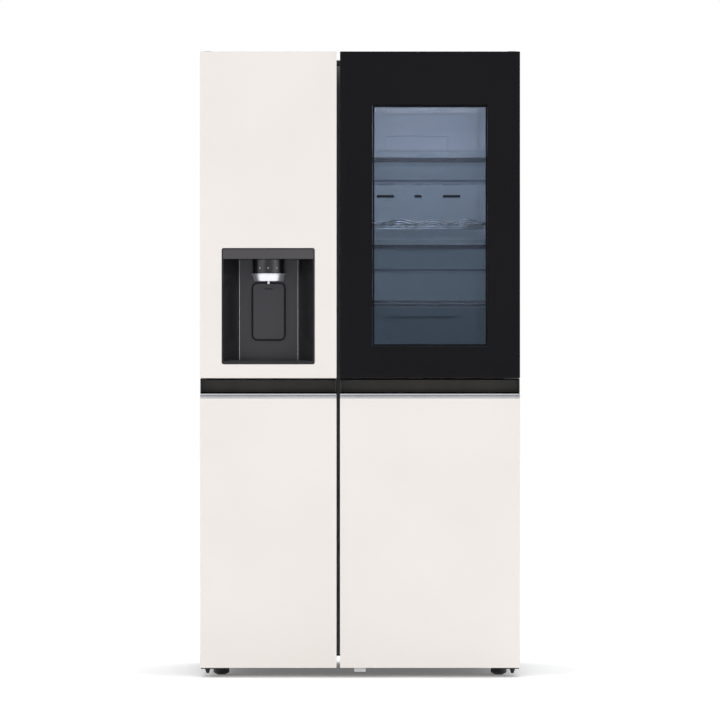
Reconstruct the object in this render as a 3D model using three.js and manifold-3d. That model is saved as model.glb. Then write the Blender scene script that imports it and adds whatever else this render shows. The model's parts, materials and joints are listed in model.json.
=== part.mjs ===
// A side by side refrigerator with a narrow freezer door on the left and a wide fridge door on the right.
// The upper half of the fridge door carries a second, glazed door that opens on its own.
// Millimetres, +Z up, doors facing -Y, origin at the middle of the footprint on the floor.

import * as THREE from "three";
import { mergeVertices } from "three/addons/utils/BufferGeometryUtils.js";
import Module from "manifold-3d";

const wasm = await Module();
wasm.setup();

// Overall sizes
const WIDTH = 913;
const HEIGHT = 1790;
const DEPTH = 735;

// Fits
const FIT = 0.4; // gap between pieces that touch
const RUN = 1; // gap around pieces that move
const SEAM = 1.5; // seam between the front pieces of a door

// Cabinet
const SHEET = 2; // steel of the outer case
const LINER = 3; // plastic of the liners
const SIDE_WALL = 45; // outer side to liner cavity
const TOP_WALL = 50;
const MULLION = 50; // between the two cavities
const CASE_TOP_DROP = 40; // hinge cover top to case top
const CASE_BOTTOM = 60; // case bottom above the floor
const FLOOR_WALL = 40; // case bottom to cavity floor
const BACK_WALL = 48; // case back to cavity back
const MACHINE_HEIGHT = 240; // machine compartment, from the case bottom
const MACHINE_DEPTH = 187;
const MACHINE_WALL = 50; // foam around the machine compartment

// Doors
const DOOR_DEPTH = 105;
const GASKET_GAP = 10; // door back to case front
const GASKET_WIDTH = 14;
const FREEZER_DOOR_WIDTH = 389.5;
const DOOR_GAP = 10; // between the two doors
const DOOR_BOTTOM = 28; // above the floor
const DOOR_TOP_DROP = 4; // below the hinge cover top
const PANEL = 12; // coated front panel
const BODY_INSET = 1; // door body inside the panel's outline
const HINGE_STEP = 26; // door body top below the front panel top
const HINGE_INSET = 20; // hinge axis from the outer side
const HINGE_BACK = 67.5; // hinge axis behind the door front
const PIN = 6; // hinge pin radius
const PIN_LENGTH = 14;

// Handle belt across both doors
const BELT_BOTTOM = 814.5; // above the floor
const BELT_HEIGHT = 37;
const BELT_DEPTH = 38;
const BELT_WALL = 2;
const POCKET_DROP = 36; // finger pocket below the belt opening
const LIP_HEIGHT = 15.5;

// Dispenser
const DISPENSER_WIDTH = 265;
const DISPENSER_HEIGHT = 331;
const DISPENSER_BOTTOM = 894; // above the floor
const DISPENSER_DEPTH = 77; // door front to recess back
const DISPENSER_WALL = 5;
const CONTROL_BAND = 31; // solid band above the recess
const LEDGE = 9; // ledge below the recess
const RECESS_BACK_WIDTH = 170;
const TAP_RADIUS = 46;
const TAP_HEIGHT = 40;
const RING_HEIGHT = 22;
const PADDLE_WIDTH = 88;
const PADDLE_HEIGHT = 158;
const PADDLE_THICK = 8;
const PADDLE_CORNER = 12;
const PADDLE_GROOVE = 5; // gap around the paddle
const PADDLE_DROP = 7.2; // chrome ring's underside to the paddle's top
const PADDLE_SWING_DEPTH = 18; // pocket behind the paddle

// Glazed door
const GLASS_DOOR_DEPTH = 37.5;
const GLASS = 6;
const GLASS_DOOR_GAP = 8; // glazed door back to the frame behind it
const WINDOW_SIDE = 92; // door edge to window
const WINDOW_BOTTOM = 90.5; // glazed door bottom to window
const WINDOW_TOP = 152;
const FRAME_WALL = 45; // door frame around the baskets
const GLASS_HINGE_INSET = 15; // glazed door hinge axis from the outer side
const GLASS_HINGE_BACK = 22.5; // and behind the door front
const GLASS_PIN = 4;
const LATCH_WIDTH = 33;
const LATCH_INSET = 11; // free end of the glazed door to the button
const LATCH_TRAVEL = 3;
const BASKET_BOTTOM = 930; // lowest basket above the floor
const BASKET_HEIGHTS = [140, 95, 95];
const BASKET_GRID = 630; // support notches from the lowest basket's top to the cavity top
const BASKET_NOTCHES = [86, 341]; // notches of the upper baskets
const BASKET_REACH = 65; // baskets reach this far into the cabinet

// Interior
const WALL = 3; // drawers and bins
const SHELF = 6;
const SHELF_BACK_GAP = 20;
const SHELF_BOTTOM = 800; // lowest shelf above the floor
const SHELF_GRID = 180; // support slots from the lowest shelf to the cavity top
const FRIDGE_SHELF_SLOTS = [0, 55, 88, 138];
const FREEZER_SHELF_SLOTS = [0, 55];
const RACK_SLOT = 100;
const DRAWER_LIFT = 35; // upper drawer above the step over the machine compartment
const DRAWER_HEIGHT = 200;
const DRAWER_COVER_RISE = 30; // glass cover above the upper drawer
const LOWER_DRAWER_LIFT = 8; // lower drawer above the cavity floor
const DRAWER_SIDE = 30; // drawer to liner on both sides, past the gasket that swings with the door
const DRAWER_SETBACK = 18; // case front to drawer front
const BIN_LIFT = 25; // door bins above the drawer cover
const BIN_HEIGHT = 130;

// Feet
const FOOT_RADIUS = 23;
const FOOT_HEIGHT = 26;
const FOOT_INSET = 57; // from the outer side
const ROLLER_RADIUS = 20;
const ROLLER_WIDTH = 22;

const FOOT_SETBACK = 40; // case front to the feet
const ROLLER_SETBACK = 50; // case back to the rollers
const ROLLER_LIFT = 10; // roller centre to the bottom of its cheeks

// Machine compartment
const COMPRESSOR_RADIUS = 70;
const COMPRESSOR_HEIGHT = 165;
const CONDENSER_WIDTH = 276.5;
const CONDENSER_HEIGHT = 200;
const CONDENSER_LENGTH = 142;
const CONDENSER_INSET = 120; // from the outer side
const FIN_PITCH = 22;
const VENT_WIDTH = 200;
const VENT_INSET = 120; // middle of the cover to its vents
const GLAND_RADIUS = 11;
const GLAND_INSET = 90; // outer side to the lead's gland
const INLET_INSET = 50; // outer side to the water union
const GLAND_DROP = 50; // below the top of the compartment

// Derived places
const RIGHT = WIDTH / 2;
const LEFT = -RIGHT;
const FRONT = -DEPTH / 2;
const BACK = DEPTH / 2;
const DOOR_BACK = FRONT + DOOR_DEPTH;
const CASE_FRONT = DOOR_BACK + GASKET_GAP;
const CASE_TOP = HEIGHT - CASE_TOP_DROP;
const DOOR_TOP = HEIGHT - DOOR_TOP_DROP;
const BODY_TOP = DOOR_TOP - HINGE_STEP;
const SPLIT = LEFT + FREEZER_DOOR_WIDTH + DOOR_GAP / 2;
const BELT_TOP = BELT_BOTTOM + BELT_HEIGHT;
const UPPER_BOTTOM = BELT_TOP + 2 * SEAM;
const LIP_TOP = BELT_BOTTOM - SEAM;
const LIP_BOTTOM = LIP_TOP - LIP_HEIGHT;
const LOWER_TOP = LIP_BOTTOM - FIT;
const HINGE_X = RIGHT - HINGE_INSET;
const HINGE_Y = FRONT + HINGE_BACK;
const MACHINE_FRONT = BACK - MACHINE_DEPTH;
const MACHINE_TOP = CASE_BOTTOM + MACHINE_HEIGHT;
const FREEZER = {
  x0: LEFT + SIDE_WALL,
  x1: SPLIT - MULLION / 2,
};
const FRIDGE = {
  x0: SPLIT + MULLION / 2,
  x1: RIGHT - SIDE_WALL,
};
const CAVITY_FLOOR = CASE_BOTTOM + FLOOR_WALL;
const CAVITY_TOP = CASE_TOP - TOP_WALL;
const CAVITY_BACK = BACK - BACK_WALL;
const CAVITY_STEP_Y = MACHINE_FRONT - MACHINE_WALL;
const CAVITY_STEP_Z = MACHINE_TOP + MACHINE_WALL - FLOOR_WALL;
const DRAWER_TOP = CAVITY_STEP_Z + DRAWER_LIFT + DRAWER_HEIGHT;
const BIN_BOTTOM = DRAWER_TOP + DRAWER_COVER_RISE + BIN_LIFT;
const slot = (n) => SHELF_BOTTOM + (n * (CAVITY_TOP - SHELF_BOTTOM)) / SHELF_GRID;
const RACK_HEIGHT = slot(RACK_SLOT);
const BASKET_GRID_BOTTOM = BASKET_BOTTOM + BASKET_HEIGHTS[0];
const BASKET_PITCH = (CAVITY_TOP - BASKET_GRID_BOTTOM) / BASKET_GRID;
const BASKET_BOTTOMS = [
  BASKET_BOTTOM,
  ...BASKET_NOTCHES.map((n) => BASKET_GRID_BOTTOM + n * BASKET_PITCH),
];
const FREEZER_DOOR = { x0: LEFT, x1: SPLIT - DOOR_GAP / 2 };
const FRIDGE_DOOR = { x0: SPLIT + DOOR_GAP / 2, x1: RIGHT };

// Finishes: colour, roughness, metalness
const CREAM = ["#efeae6", 0.45, 0.1];
const STEEL = ["#b9bbc0", 0.35, 0.9];
const DARK_STEEL = ["#3a3b3d", 0.5, 0.8];
const CASE_PAINT = ["#8f9194", 0.5, 0.3];
const BLACK = ["#1c1c1e", 0.5, 0];
const BELT_DARK = ["#34312f", 0.4, 0.2];
const CHARCOAL = ["#404043", 0.4, 0.2];
const BLACK_GLASS = ["#1e1e20", 0.08, 0];
const WHITE = ["#eef0f2", 0.4, 0];
const CLEAR = ["#d7e0e8", 0.15, 0];
const RUBBER = ["#9b9c9e", 0.8, 0];
const CHROME = ["#d9dadd", 0.12, 1];
const FOAM = ["#e3d6b4", 0.9, 0];

const fridge = new THREE.Group();

// Adds one named piece with its finish.
function add(name, geometry, [color, roughness, metalness]) {
  const material = new THREE.MeshStandardMaterial({ color, roughness, metalness });
  const mesh = new THREE.Mesh(geometry, material);
  mesh.name = name;
  fridge.add(mesh);
}

// A box between two corners.
function box(x0, x1, y0, y1, z0, z1) {
  const g = new THREE.BoxGeometry(x1 - x0, y1 - y0, z1 - z0);
  return g.translate((x0 + x1) / 2, (y0 + y1) / 2, (z0 + z1) / 2);
}

// An upright cylinder, or a cone when the two radii differ.
function post(x, y, z0, z1, bottom, top = bottom, sides = 32) {
  const g = new THREE.CylinderGeometry(top, bottom, z1 - z0, sides);
  return g.rotateX(Math.PI / 2).translate(x, y, (z0 + z1) / 2);
}

// A cylinder along X.
function axle(x0, x1, y, z, radius, sides = 32) {
  const g = new THREE.CylinderGeometry(radius, radius, x1 - x0, sides);
  return g.rotateZ(Math.PI / 2).translate((x0 + x1) / 2, y, z);
}

// A cylinder along Y.
function bar(x, z, y0, y1, radius, sides = 32) {
  return new THREE.CylinderGeometry(radius, radius, y1 - y0, sides).translate(x, (y0 + y1) / 2, z);
}

// A plan outline raised from z0 to z1.
function raise(points, z0, z1) {
  const shape = new THREE.Shape(points.map(([x, y]) => new THREE.Vector2(x, y)));
  return new THREE.ExtrudeGeometry(shape, { depth: z1 - z0, bevelEnabled: false }).translate(0, 0, z0);
}

// An outline in the front view with round corners, between two depths.
function plate(x0, x1, y0, y1, z0, z1, radius) {
  const s = new THREE.Shape();
  s.moveTo(x0 + radius, z0);
  s.lineTo(x1 - radius, z0);
  s.absarc(x1 - radius, z0 + radius, radius, -Math.PI / 2, 0);
  s.lineTo(x1, z1 - radius);
  s.absarc(x1 - radius, z1 - radius, radius, 0, Math.PI / 2);
  s.lineTo(x0 + radius, z1);
  s.absarc(x0 + radius, z1 - radius, radius, Math.PI / 2, Math.PI);
  s.lineTo(x0, z0 + radius);
  s.absarc(x0 + radius, z0 + radius, radius, Math.PI, 1.5 * Math.PI);
  const g = new THREE.ExtrudeGeometry(s, { depth: y1 - y0, bevelEnabled: false, curveSegments: 5 });
  return g.rotateX(Math.PI / 2).translate(0, y1, 0);
}

// Turns a closed geometry into a solid that can be joined and cut.
function solid(geometry) {
  const bare = new THREE.BufferGeometry();
  bare.setAttribute("position", geometry.getAttribute("position"));
  if (geometry.index) bare.setIndex(geometry.index);
  const merged = mergeVertices(bare, 1e-3);
  const vertProperties = merged.attributes.position.array;
  const triVerts = new Uint32Array(merged.index.array);
  return new wasm.Manifold(new wasm.Mesh({ numProp: 3, vertProperties, triVerts }));
}

// Turns a solid back into a geometry.
function shell(body) {
  const m = body.getMesh();
  const g = new THREE.BufferGeometry();
  g.setAttribute("position", new THREE.BufferAttribute(m.vertProperties, 3));
  g.setIndex(new THREE.BufferAttribute(m.triVerts, 1));
  g.computeVertexNormals();
  return g;
}

// Joins the first list and cuts the second list from it.
function carve(joined, cuts = []) {
  let body = solid(joined[0]);
  for (const g of joined.slice(1)) body = body.add(solid(g));
  for (const g of cuts) body = body.subtract(solid(g));
  return shell(body);
}

// A tray open at the top.
function tray(x0, x1, y0, y1, z0, z1, wall = WALL) {
  return carve(
    [box(x0, x1, y0, y1, z0, z1)],
    [box(x0 + wall, x1 - wall, y0 + wall, y1 - wall, z0 + wall, z1 + 1)],
  );
}

// ---------- Cabinet ----------

// A liner's outline seen from the side: deep above, stepped forward over the machine compartment.
function linerSide(x0, x1, grow, front) {
  const points = [
    [front, CAVITY_FLOOR - grow],
    [CAVITY_STEP_Y + grow, CAVITY_FLOOR - grow],
    [CAVITY_STEP_Y + grow, CAVITY_STEP_Z - grow],
    [CAVITY_BACK + grow, CAVITY_STEP_Z - grow],
    [CAVITY_BACK + grow, CAVITY_TOP + grow],
    [front, CAVITY_TOP + grow],
  ];
  const shape = new THREE.Shape(points.map(([y, z]) => new THREE.Vector2(y, z)));
  const depth = x1 - x0 + 2 * grow;
  const g = new THREE.ExtrudeGeometry(shape, { depth, bevelEnabled: false });
  return g.rotateX(Math.PI / 2).rotateZ(Math.PI / 2).translate(x0 - grow, 0, 0);
}

// The outer case: two sides, a top and a front flange around both openings.
function outerCase() {
  const flange = LINER + FIT;
  const opening = ({ x0, x1 }) =>
    box(
      x0 - flange,
      x1 + flange,
      CASE_FRONT - 1,
      CASE_FRONT + SHEET + 1,
      CAVITY_FLOOR - flange,
      CAVITY_TOP + flange,
    );
  const inside = box(
    LEFT + SHEET,
    RIGHT - SHEET,
    CASE_FRONT + SHEET,
    BACK + 1,
    CASE_BOTTOM - 1,
    CASE_TOP - SHEET,
  );
  return carve(
    [box(LEFT, RIGHT, CASE_FRONT, BACK, CASE_BOTTOM, CASE_TOP)],
    [inside, opening(FREEZER), opening(FRIDGE)],
  );
}
add("outer_case", outerCase(), CASE_PAINT);

const IN_LEFT = LEFT + SHEET + FIT;
const IN_RIGHT = RIGHT - SHEET - FIT;
const IN_TOP = CASE_TOP - SHEET - FIT;
const IN_FRONT = CASE_FRONT + SHEET + FIT;
add(
  "rear_panel",
  box(IN_LEFT, IN_RIGHT, BACK - SHEET, BACK, MACHINE_TOP + FIT, IN_TOP),
  CASE_PAINT,
);

// The insulation fills the case around the two liners and over the machine compartment.
function insulation() {
  const grow = LINER + FIT;
  const machine = box(
    LEFT,
    RIGHT,
    MACHINE_FRONT,
    BACK,
    CASE_BOTTOM - 1,
    MACHINE_TOP,
  );
  const block = box(IN_LEFT, IN_RIGHT, IN_FRONT, BACK - SHEET - FIT, CASE_BOTTOM + FIT, IN_TOP);
  const front = CASE_FRONT - 1;
  return carve(
    [block],
    [
      machine,
      linerSide(FREEZER.x0, FREEZER.x1, grow, front),
      linerSide(FRIDGE.x0, FRIDGE.x1, grow, front),
    ],
  );
}
add("insulation_foam", insulation(), FOAM);

// A liner: a thin tub lying on its back, open to the front.
function liner({ x0, x1 }) {
  return carve(
    [linerSide(x0, x1, LINER, CASE_FRONT)],
    [linerSide(x0, x1, 0, CASE_FRONT - 1)],
  );
}
add("freezer_liner", liner(FREEZER), WHITE);
add("fridge_liner", liner(FRIDGE), WHITE);

// The air duct cover on the back wall of the fridge compartment.
const DUCT_DEPTH = 12;
const DUCT_MARGIN = 60;
const DUCT_BOTTOM = 620;
const VENT_HEIGHT = 8;
const VENT_COUNT = 4;
function ductCover({ x0, x1 }) {
  const y1 = CAVITY_BACK - FIT;
  const y0 = y1 - DUCT_DEPTH;
  const a = x0 + DUCT_MARGIN;
  const b = x1 - DUCT_MARGIN;
  const z1 = CAVITY_TOP - DUCT_MARGIN;
  const pitch = (z1 - DUCT_BOTTOM) / (VENT_COUNT + 1);
  const vents = [];
  for (let i = 1; i <= VENT_COUNT; i++) {
    const z = DUCT_BOTTOM + i * pitch;
    vents.push(box(a + DUCT_MARGIN, b - DUCT_MARGIN, y0 - 1, y1 + 1, z, z + VENT_HEIGHT));
  }
  return carve([box(a, b, y0, y1, DUCT_BOTTOM, z1)], vents);
}
add("fridge_duct_cover", ductCover(FRIDGE), WHITE);

// The base frame: a floor sheet with a channel along each side that carries a foot and a roller.
const FRAME_SHEET = 4;
const FOOT_X = RIGHT - FOOT_INSET;
const FOOT_Y = CASE_FRONT + FOOT_SETBACK;
const ROLLER_Y = BACK - ROLLER_SETBACK;
const CHEEK_HALF = 30;
const FOOT_PAD = 20;
const ROLLER_PIN = 4;
const STEM = 6;
const CHEEK_BOTTOM = ROLLER_RADIUS - ROLLER_LIFT;
function baseFrame() {
  const top = CASE_BOTTOM - FIT;
  const inner = ROLLER_WIDTH / 2 + RUN;
  const outer = inner + FRAME_SHEET;
  const joined = [box(LEFT, RIGHT, CASE_FRONT, BACK - 5, top - FRAME_SHEET, top)];
  const cuts = [];
  for (const side of [-1, 1]) {
    const x = side * FOOT_X;
    for (const x0 of [x - outer, x + inner]) {
      const x1 = x0 + FRAME_SHEET;
      joined.push(box(x0, x1, ROLLER_Y - CHEEK_HALF, ROLLER_Y + CHEEK_HALF, CHEEK_BOTTOM, top - 1));
    }
    const front = FOOT_Y - FOOT_PAD;
    joined.push(box(x - FOOT_PAD, x + FOOT_PAD, front, FOOT_Y + FOOT_PAD, FOOT_HEIGHT + RUN, top - 1));
    cuts.push(axle(x - outer - 1, x + outer + 1, ROLLER_Y, ROLLER_RADIUS, ROLLER_PIN + FIT));
    cuts.push(post(x, FOOT_Y, FOOT_HEIGHT, top + 1, STEM + FIT));
  }
  return carve(joined, cuts);
}
add("base_frame", baseFrame(), DARK_STEEL);

// Front levelling feet: a chamfered disc on a screw stem.
function foot(x) {
  const rim = 6;
  return carve([
    post(x, FOOT_Y, 0, rim, FOOT_RADIUS / 2, FOOT_RADIUS),
    post(x, FOOT_Y, rim, FOOT_HEIGHT - rim, FOOT_RADIUS),
    post(x, FOOT_Y, FOOT_HEIGHT - rim, FOOT_HEIGHT, FOOT_RADIUS, FOOT_RADIUS - 5),
    post(x, FOOT_Y, FOOT_HEIGHT - 1, CASE_BOTTOM - FRAME_SHEET, STEM),
  ]);
}

// Rear rollers on short pins between the cheeks of the base frame.
function roller(x) {
  const inner = ROLLER_WIDTH / 2;
  const reach = inner + RUN + FRAME_SHEET;
  return carve([
    axle(x - inner, x + inner, ROLLER_Y, ROLLER_RADIUS, ROLLER_RADIUS),
    axle(x - reach, x + reach, ROLLER_Y, ROLLER_RADIUS, ROLLER_PIN),
  ]);
}
for (const [side, word] of [[-1, "left"], [1, "right"]]) {
  add("levelling_foot_" + word, foot(side * FOOT_X), BLACK);
  add("rear_roller_" + word, roller(side * FOOT_X), BLACK);
}

// Machine compartment: compressor, condenser and a slotted cover.
const MACHINE_Y = (MACHINE_FRONT + BACK) / 2;
const COVER = 2;
const MACHINE_FLOOR = CASE_BOTTOM + RUN;
const COMPRESSOR_SKIRT = 20;
const COMPRESSOR_DOME = 35;
function compressor() {
  const x = RIGHT / 2;
  const radius = COMPRESSOR_RADIUS;
  const skirt = MACHINE_FLOOR + COMPRESSOR_SKIRT;
  const top = MACHINE_FLOOR + COMPRESSOR_HEIGHT;
  const shoulder = top - COMPRESSOR_DOME;
  return carve([
    post(x, MACHINE_Y, MACHINE_FLOOR, skirt, radius + 8, radius),
    post(x, MACHINE_Y, skirt, shoulder, radius),
    post(x, MACHINE_Y, shoulder, top, radius, 30),
  ]);
}
add("compressor", compressor(), BLACK);
function condenser() {
  const x0 = LEFT + CONDENSER_INSET;
  const x1 = x0 + CONDENSER_WIDTH;
  const y0 = MACHINE_Y - CONDENSER_LENGTH / 2;
  const y1 = MACHINE_Y + CONDENSER_LENGTH / 2;
  const top = MACHINE_FLOOR + CONDENSER_HEIGHT;
  const tray = MACHINE_FLOOR + 20;
  const fins = [];
  for (let x = x0 + FIN_PITCH; x < x1 - FIN_PITCH; x += FIN_PITCH) {
    fins.push(box(x, x + FIN_PITCH / 2, y0 - 1, y1 + 1, tray, top + 1));
  }
  return carve([box(x0, x1, y0, y1, MACHINE_FLOOR, top)], fins);
}
add("condenser", condenser(), DARK_STEEL);

const GLAND_X = LEFT + GLAND_INSET;
const GLAND_Z = MACHINE_TOP - GLAND_DROP;
const INLET_X = LEFT + INLET_INSET;
const VENT_FAR = VENT_INSET + VENT_WIDTH;
function machineCover() {
  const cuts = [];
  const last = GLAND_Z - 40;
  for (let z = CASE_BOTTOM + 40; z < last; z += 3 * VENT_HEIGHT) {
    cuts.push(box(-VENT_FAR, -VENT_INSET, BACK - COVER - 1, BACK + 1, z, z + VENT_HEIGHT));
    cuts.push(box(VENT_INSET, VENT_FAR, BACK - COVER - 1, BACK + 1, z, z + VENT_HEIGHT));
  }
  for (const x of [GLAND_X, INLET_X]) {
    cuts.push(bar(x, GLAND_Z, BACK - COVER - 1, BACK + 1, GLAND_RADIUS));
  }
  return carve(
    [box(IN_LEFT, IN_RIGHT, BACK - COVER, BACK, CASE_BOTTOM + FIT, MACHINE_TOP - FIT)],
    cuts,
  );
}
add("machine_cover", machineCover(), CASE_PAINT);

// A gland for the mains lead and a screw union for the water pipe, both through the machine cover.
function gland(x, bore) {
  const radius = GLAND_RADIUS - FIT;
  const y0 = BACK - 18;
  return carve(
    [
      bar(x, GLAND_Z, y0, BACK, radius),
      bar(x, GLAND_Z, y0, BACK - COVER - FIT, radius + 4, 6),
    ],
    [bar(x, GLAND_Z, y0 + 4, BACK + 1, bore)],
  );
}
add("cord_gland", gland(GLAND_X, 5), BLACK);
add("water_inlet", gland(INLET_X, 4), BLACK);

// Top hinges: a steel block on the case with an arm and a pin over each door, under a plastic cover.
const ARM = 4;
const ARM_RADIUS = 13;
const ARM_OUT = 4; // arm edge beyond the hinge axis, inside the sweep of the glazed door's corner
const ARM_Z = BODY_TOP + 2;
const HINGE_BASE_BACK = CASE_FRONT + 90;
const COVER_WALL = 3;
const HINGE_WIDTH = 60;
function topHinge(side, grow) {
  const x = side * HINGE_X;
  const inner = x - side * HINGE_WIDTH;
  const outer = x + side * ARM_OUT;
  const x0 = Math.min(inner, outer) - grow;
  const x1 = Math.max(inner, outer) + grow;
  const base = box(x0, x1, CASE_FRONT, HINGE_BASE_BACK + grow, CASE_TOP + FIT, ARM_Z + ARM + grow);
  const arm = box(x0, x1, HINGE_Y, CASE_FRONT + 1, ARM_Z - grow, ARM_Z + ARM + grow);
  const end = post(x, HINGE_Y, ARM_Z - grow, ARM_Z + ARM + grow, ARM_RADIUS + grow);
  return [base, arm, end];
}
function hingePin(side) {
  return post(side * HINGE_X, HINGE_Y, BODY_TOP - PIN_LENGTH, ARM_Z + 1, PIN);
}
function hingeCover(side) {
  const x = side * HINGE_X;
  const inner = x - side * (HINGE_WIDTH + COVER_WALL);
  const outer = x + side * (ARM_OUT + COVER_WALL);
  const x0 = Math.min(inner, outer);
  const x1 = Math.max(inner, outer);
  const low = ARM_Z - FIT;
  return carve(
    [
      box(x0, x1, HINGE_Y, CASE_FRONT + 1, low, HEIGHT),
      box(x0, x1, CASE_FRONT, HINGE_BASE_BACK + COVER_WALL, CASE_TOP + FIT, HEIGHT),
      post(x, HINGE_Y, low, HEIGHT, ARM_RADIUS + COVER_WALL),
    ],
    [
      ...topHinge(side, FIT),
      box(x0 + COVER_WALL, x1 - COVER_WALL, CASE_FRONT, HINGE_BASE_BACK, CASE_TOP, ARM_Z),
    ],
  );
}

// Bottom hinges: a plate under each door with a pin up into it and a cone below.
const PLATE_Z = DOOR_BOTTOM - 6;
const PLATE_THICK = 4;
const PLATE_WIDTH = 63;
function bottomHinge(side) {
  const x = side * HINGE_X;
  const outer = x + side * (HINGE_INSET - 1);
  const inner = outer - side * PLATE_WIDTH;
  const x0 = Math.min(inner, outer);
  const x1 = Math.max(inner, outer);
  const back = CASE_FRONT - FIT;
  return carve([
    box(x0, x1, HINGE_Y - 15, back, PLATE_Z, PLATE_Z + PLATE_THICK),
    box(x0, x1, back - 4, back, PLATE_Z, CAVITY_FLOOR - 30),
    post(x, HINGE_Y, PLATE_Z + 1, DOOR_BOTTOM + PIN_LENGTH, PIN),
    post(x, HINGE_Y, PLATE_Z - 13, PLATE_Z + 1, 4, 8),
  ]);
}
for (const [side, word] of [[-1, "left"], [1, "right"]]) {
  add("top_hinge_" + word, carve([...topHinge(side, 0), hingePin(side)]), STEEL);
  add("hinge_cover_" + word, hingeCover(side), BLACK);
  add("bottom_hinge_" + word, bottomHinge(side), DARK_STEEL);
}
const COVER_END = HINGE_X - HINGE_WIDTH - COVER_WALL - RUN;
add(
  "top_cover",
  box(-COVER_END, COVER_END, CASE_FRONT + FIT, CASE_FRONT + 70, CASE_TOP + FIT, CASE_TOP + 18),
  BLACK,
);

// ---------- Interior ----------

const SHELF_FRONT = CASE_FRONT + BASKET_REACH + 15;
const SHELF_RIM = 12;

// A shelf with a deeper front rim and a low back stop.
function shelfPlate({ x0, x1 }, z, front) {
  const back = CAVITY_BACK - SHELF_BACK_GAP;
  return carve([
    box(x0 + RUN, x1 - RUN, front, back, z - SHELF, z),
    box(x0 + RUN, x1 - RUN, front, front + 8, z - SHELF_RIM, z + 1),
    box(x0 + RUN, x1 - RUN, back - 5, back, z - SHELF, z + 10),
  ]);
}
FRIDGE_SHELF_SLOTS.forEach((n, i) =>
  add("fridge_shelf_" + (i + 1), shelfPlate(FRIDGE, slot(n), SHELF_FRONT), CLEAR),
);
FREEZER_SHELF_SLOTS.forEach((n, i) =>
  add("freezer_shelf_" + (i + 1), shelfPlate(FREEZER, slot(n), SHELF_FRONT), CLEAR),
);

// A bottle rack of round bars between two rails.
const ROD = 3;
const RACK_BARS = 8;
function bottleRack() {
  const x0 = FRIDGE.x0 + RUN;
  const x1 = FRIDGE.x1 - RUN;
  const y0 = SHELF_FRONT + 10;
  const y1 = CAVITY_BACK - SHELF_BACK_GAP - 10;
  const bars = [
    axle(x0, x1, y0, RACK_HEIGHT, ROD, 10),
    axle(x0, x1, y1, RACK_HEIGHT, ROD, 10),
    axle(x0, x1, (y0 + y1) / 2, RACK_HEIGHT, ROD, 10),
  ];
  const pitch = (x1 - x0 - 4 * ROD) / (RACK_BARS - 1);
  for (let i = 0; i < RACK_BARS; i++) {
    bars.push(bar(x0 + 2 * ROD + i * pitch, RACK_HEIGHT, y0 - ROD, y1 + ROD, ROD, 10));
  }
  return carve(bars);
}
add("bottle_rack", bottleRack(), CHROME);

// Drawers run between side rails and stop short of the door's swept corner.
const DRAWER_FRONT = CASE_FRONT + DRAWER_SETBACK;
const LOWER_DRAWER_TOP = CAVITY_STEP_Z - 5;
const DRAWER_BACK_GAP = 25;
add(
  "drawer_cover",
  shelfPlate(FRIDGE, DRAWER_TOP + DRAWER_COVER_RISE, DRAWER_FRONT),
  CLEAR,
);
const drawerSpan = ({ x0, x1 }) => [x0 + DRAWER_SIDE, x1 - DRAWER_SIDE];
for (const [word, span] of [["crisper", drawerSpan(FRIDGE)], ["freezer_drawer", drawerSpan(FREEZER)]]) {
  const upper = [DRAWER_FRONT, CAVITY_BACK - DRAWER_BACK_GAP, DRAWER_TOP - DRAWER_HEIGHT, DRAWER_TOP];
  const floor = CAVITY_FLOOR + LOWER_DRAWER_LIFT;
  const lower = [DRAWER_FRONT, CAVITY_STEP_Y - DRAWER_BACK_GAP, floor, LOWER_DRAWER_TOP];
  add(word + "_upper", tray(...span, ...upper), CLEAR);
  add(word + "_lower", tray(...span, ...lower), CLEAR);
}

// ---------- Doors ----------

const BODY_FRONT = FRONT + PANEL + FIT;
const STEP_BACK = HINGE_Y - ARM_RADIUS - COVER_WALL - 24;
const BELT_BACK = BODY_FRONT + BELT_DEPTH;
const BELT_FRONT = FRONT + 2;

// The belt's outer block: a wide channel above and a narrower finger pocket behind the lip strip.
function beltBlock({ x0, x1 }, grow) {
  const a = x0 + BODY_INSET - grow;
  const b = x1 - BODY_INSET + grow;
  const low = BELT_BOTTOM - POCKET_DROP - grow;
  return [
    box(a, b, BELT_FRONT - grow, BELT_BACK + grow, BELT_BOTTOM - grow, BELT_TOP + grow),
    box(a, b, BODY_FRONT - grow, BELT_BACK + grow, low, BELT_BOTTOM),
  ];
}

// The handle belt: hollow, open to the front, with a pocket that goes down behind the lip strip.
function belt(door, extra = []) {
  const a = door.x0 + BODY_INSET + BELT_WALL;
  const b = door.x1 - BODY_INSET - BELT_WALL;
  const back = BELT_BACK - BELT_WALL;
  const pocketFront = BODY_FRONT + BELT_WALL;
  const top = BELT_TOP - BELT_WALL;
  return carve(beltBlock(door, 0), [
    box(a, b, FRONT - 1, back, BELT_BOTTOM + BELT_WALL, top),
    box(a, b, pocketFront, back, BELT_BOTTOM - POCKET_DROP + BELT_WALL, BELT_BOTTOM + BELT_WALL + 1),
    ...extra,
  ]);
}

// Holes for the main hinge pins in a door body.
function pinHoles(side) {
  const x = side * HINGE_X;
  const reach = PIN_LENGTH + 2;
  return [
    post(x, HINGE_Y, BODY_TOP - reach, BODY_TOP + 1, PIN + FIT),
    post(x, HINGE_Y, DOOR_BOTTOM - 1, DOOR_BOTTOM + reach, PIN + FIT),
  ];
}

// The magnetic gasket around an opening.
function gasket({ x0, x1 }) {
  const clear = LINER;
  const ring = (grow, y0, y1) =>
    box(x0 - grow, x1 + grow, y0, y1, CAVITY_FLOOR - grow, CAVITY_TOP + grow);
  return carve(
    [ring(clear + GASKET_WIDTH, DOOR_BACK + FIT, CASE_FRONT - FIT)],
    [ring(clear, DOOR_BACK, CASE_FRONT)],
  );
}

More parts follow.
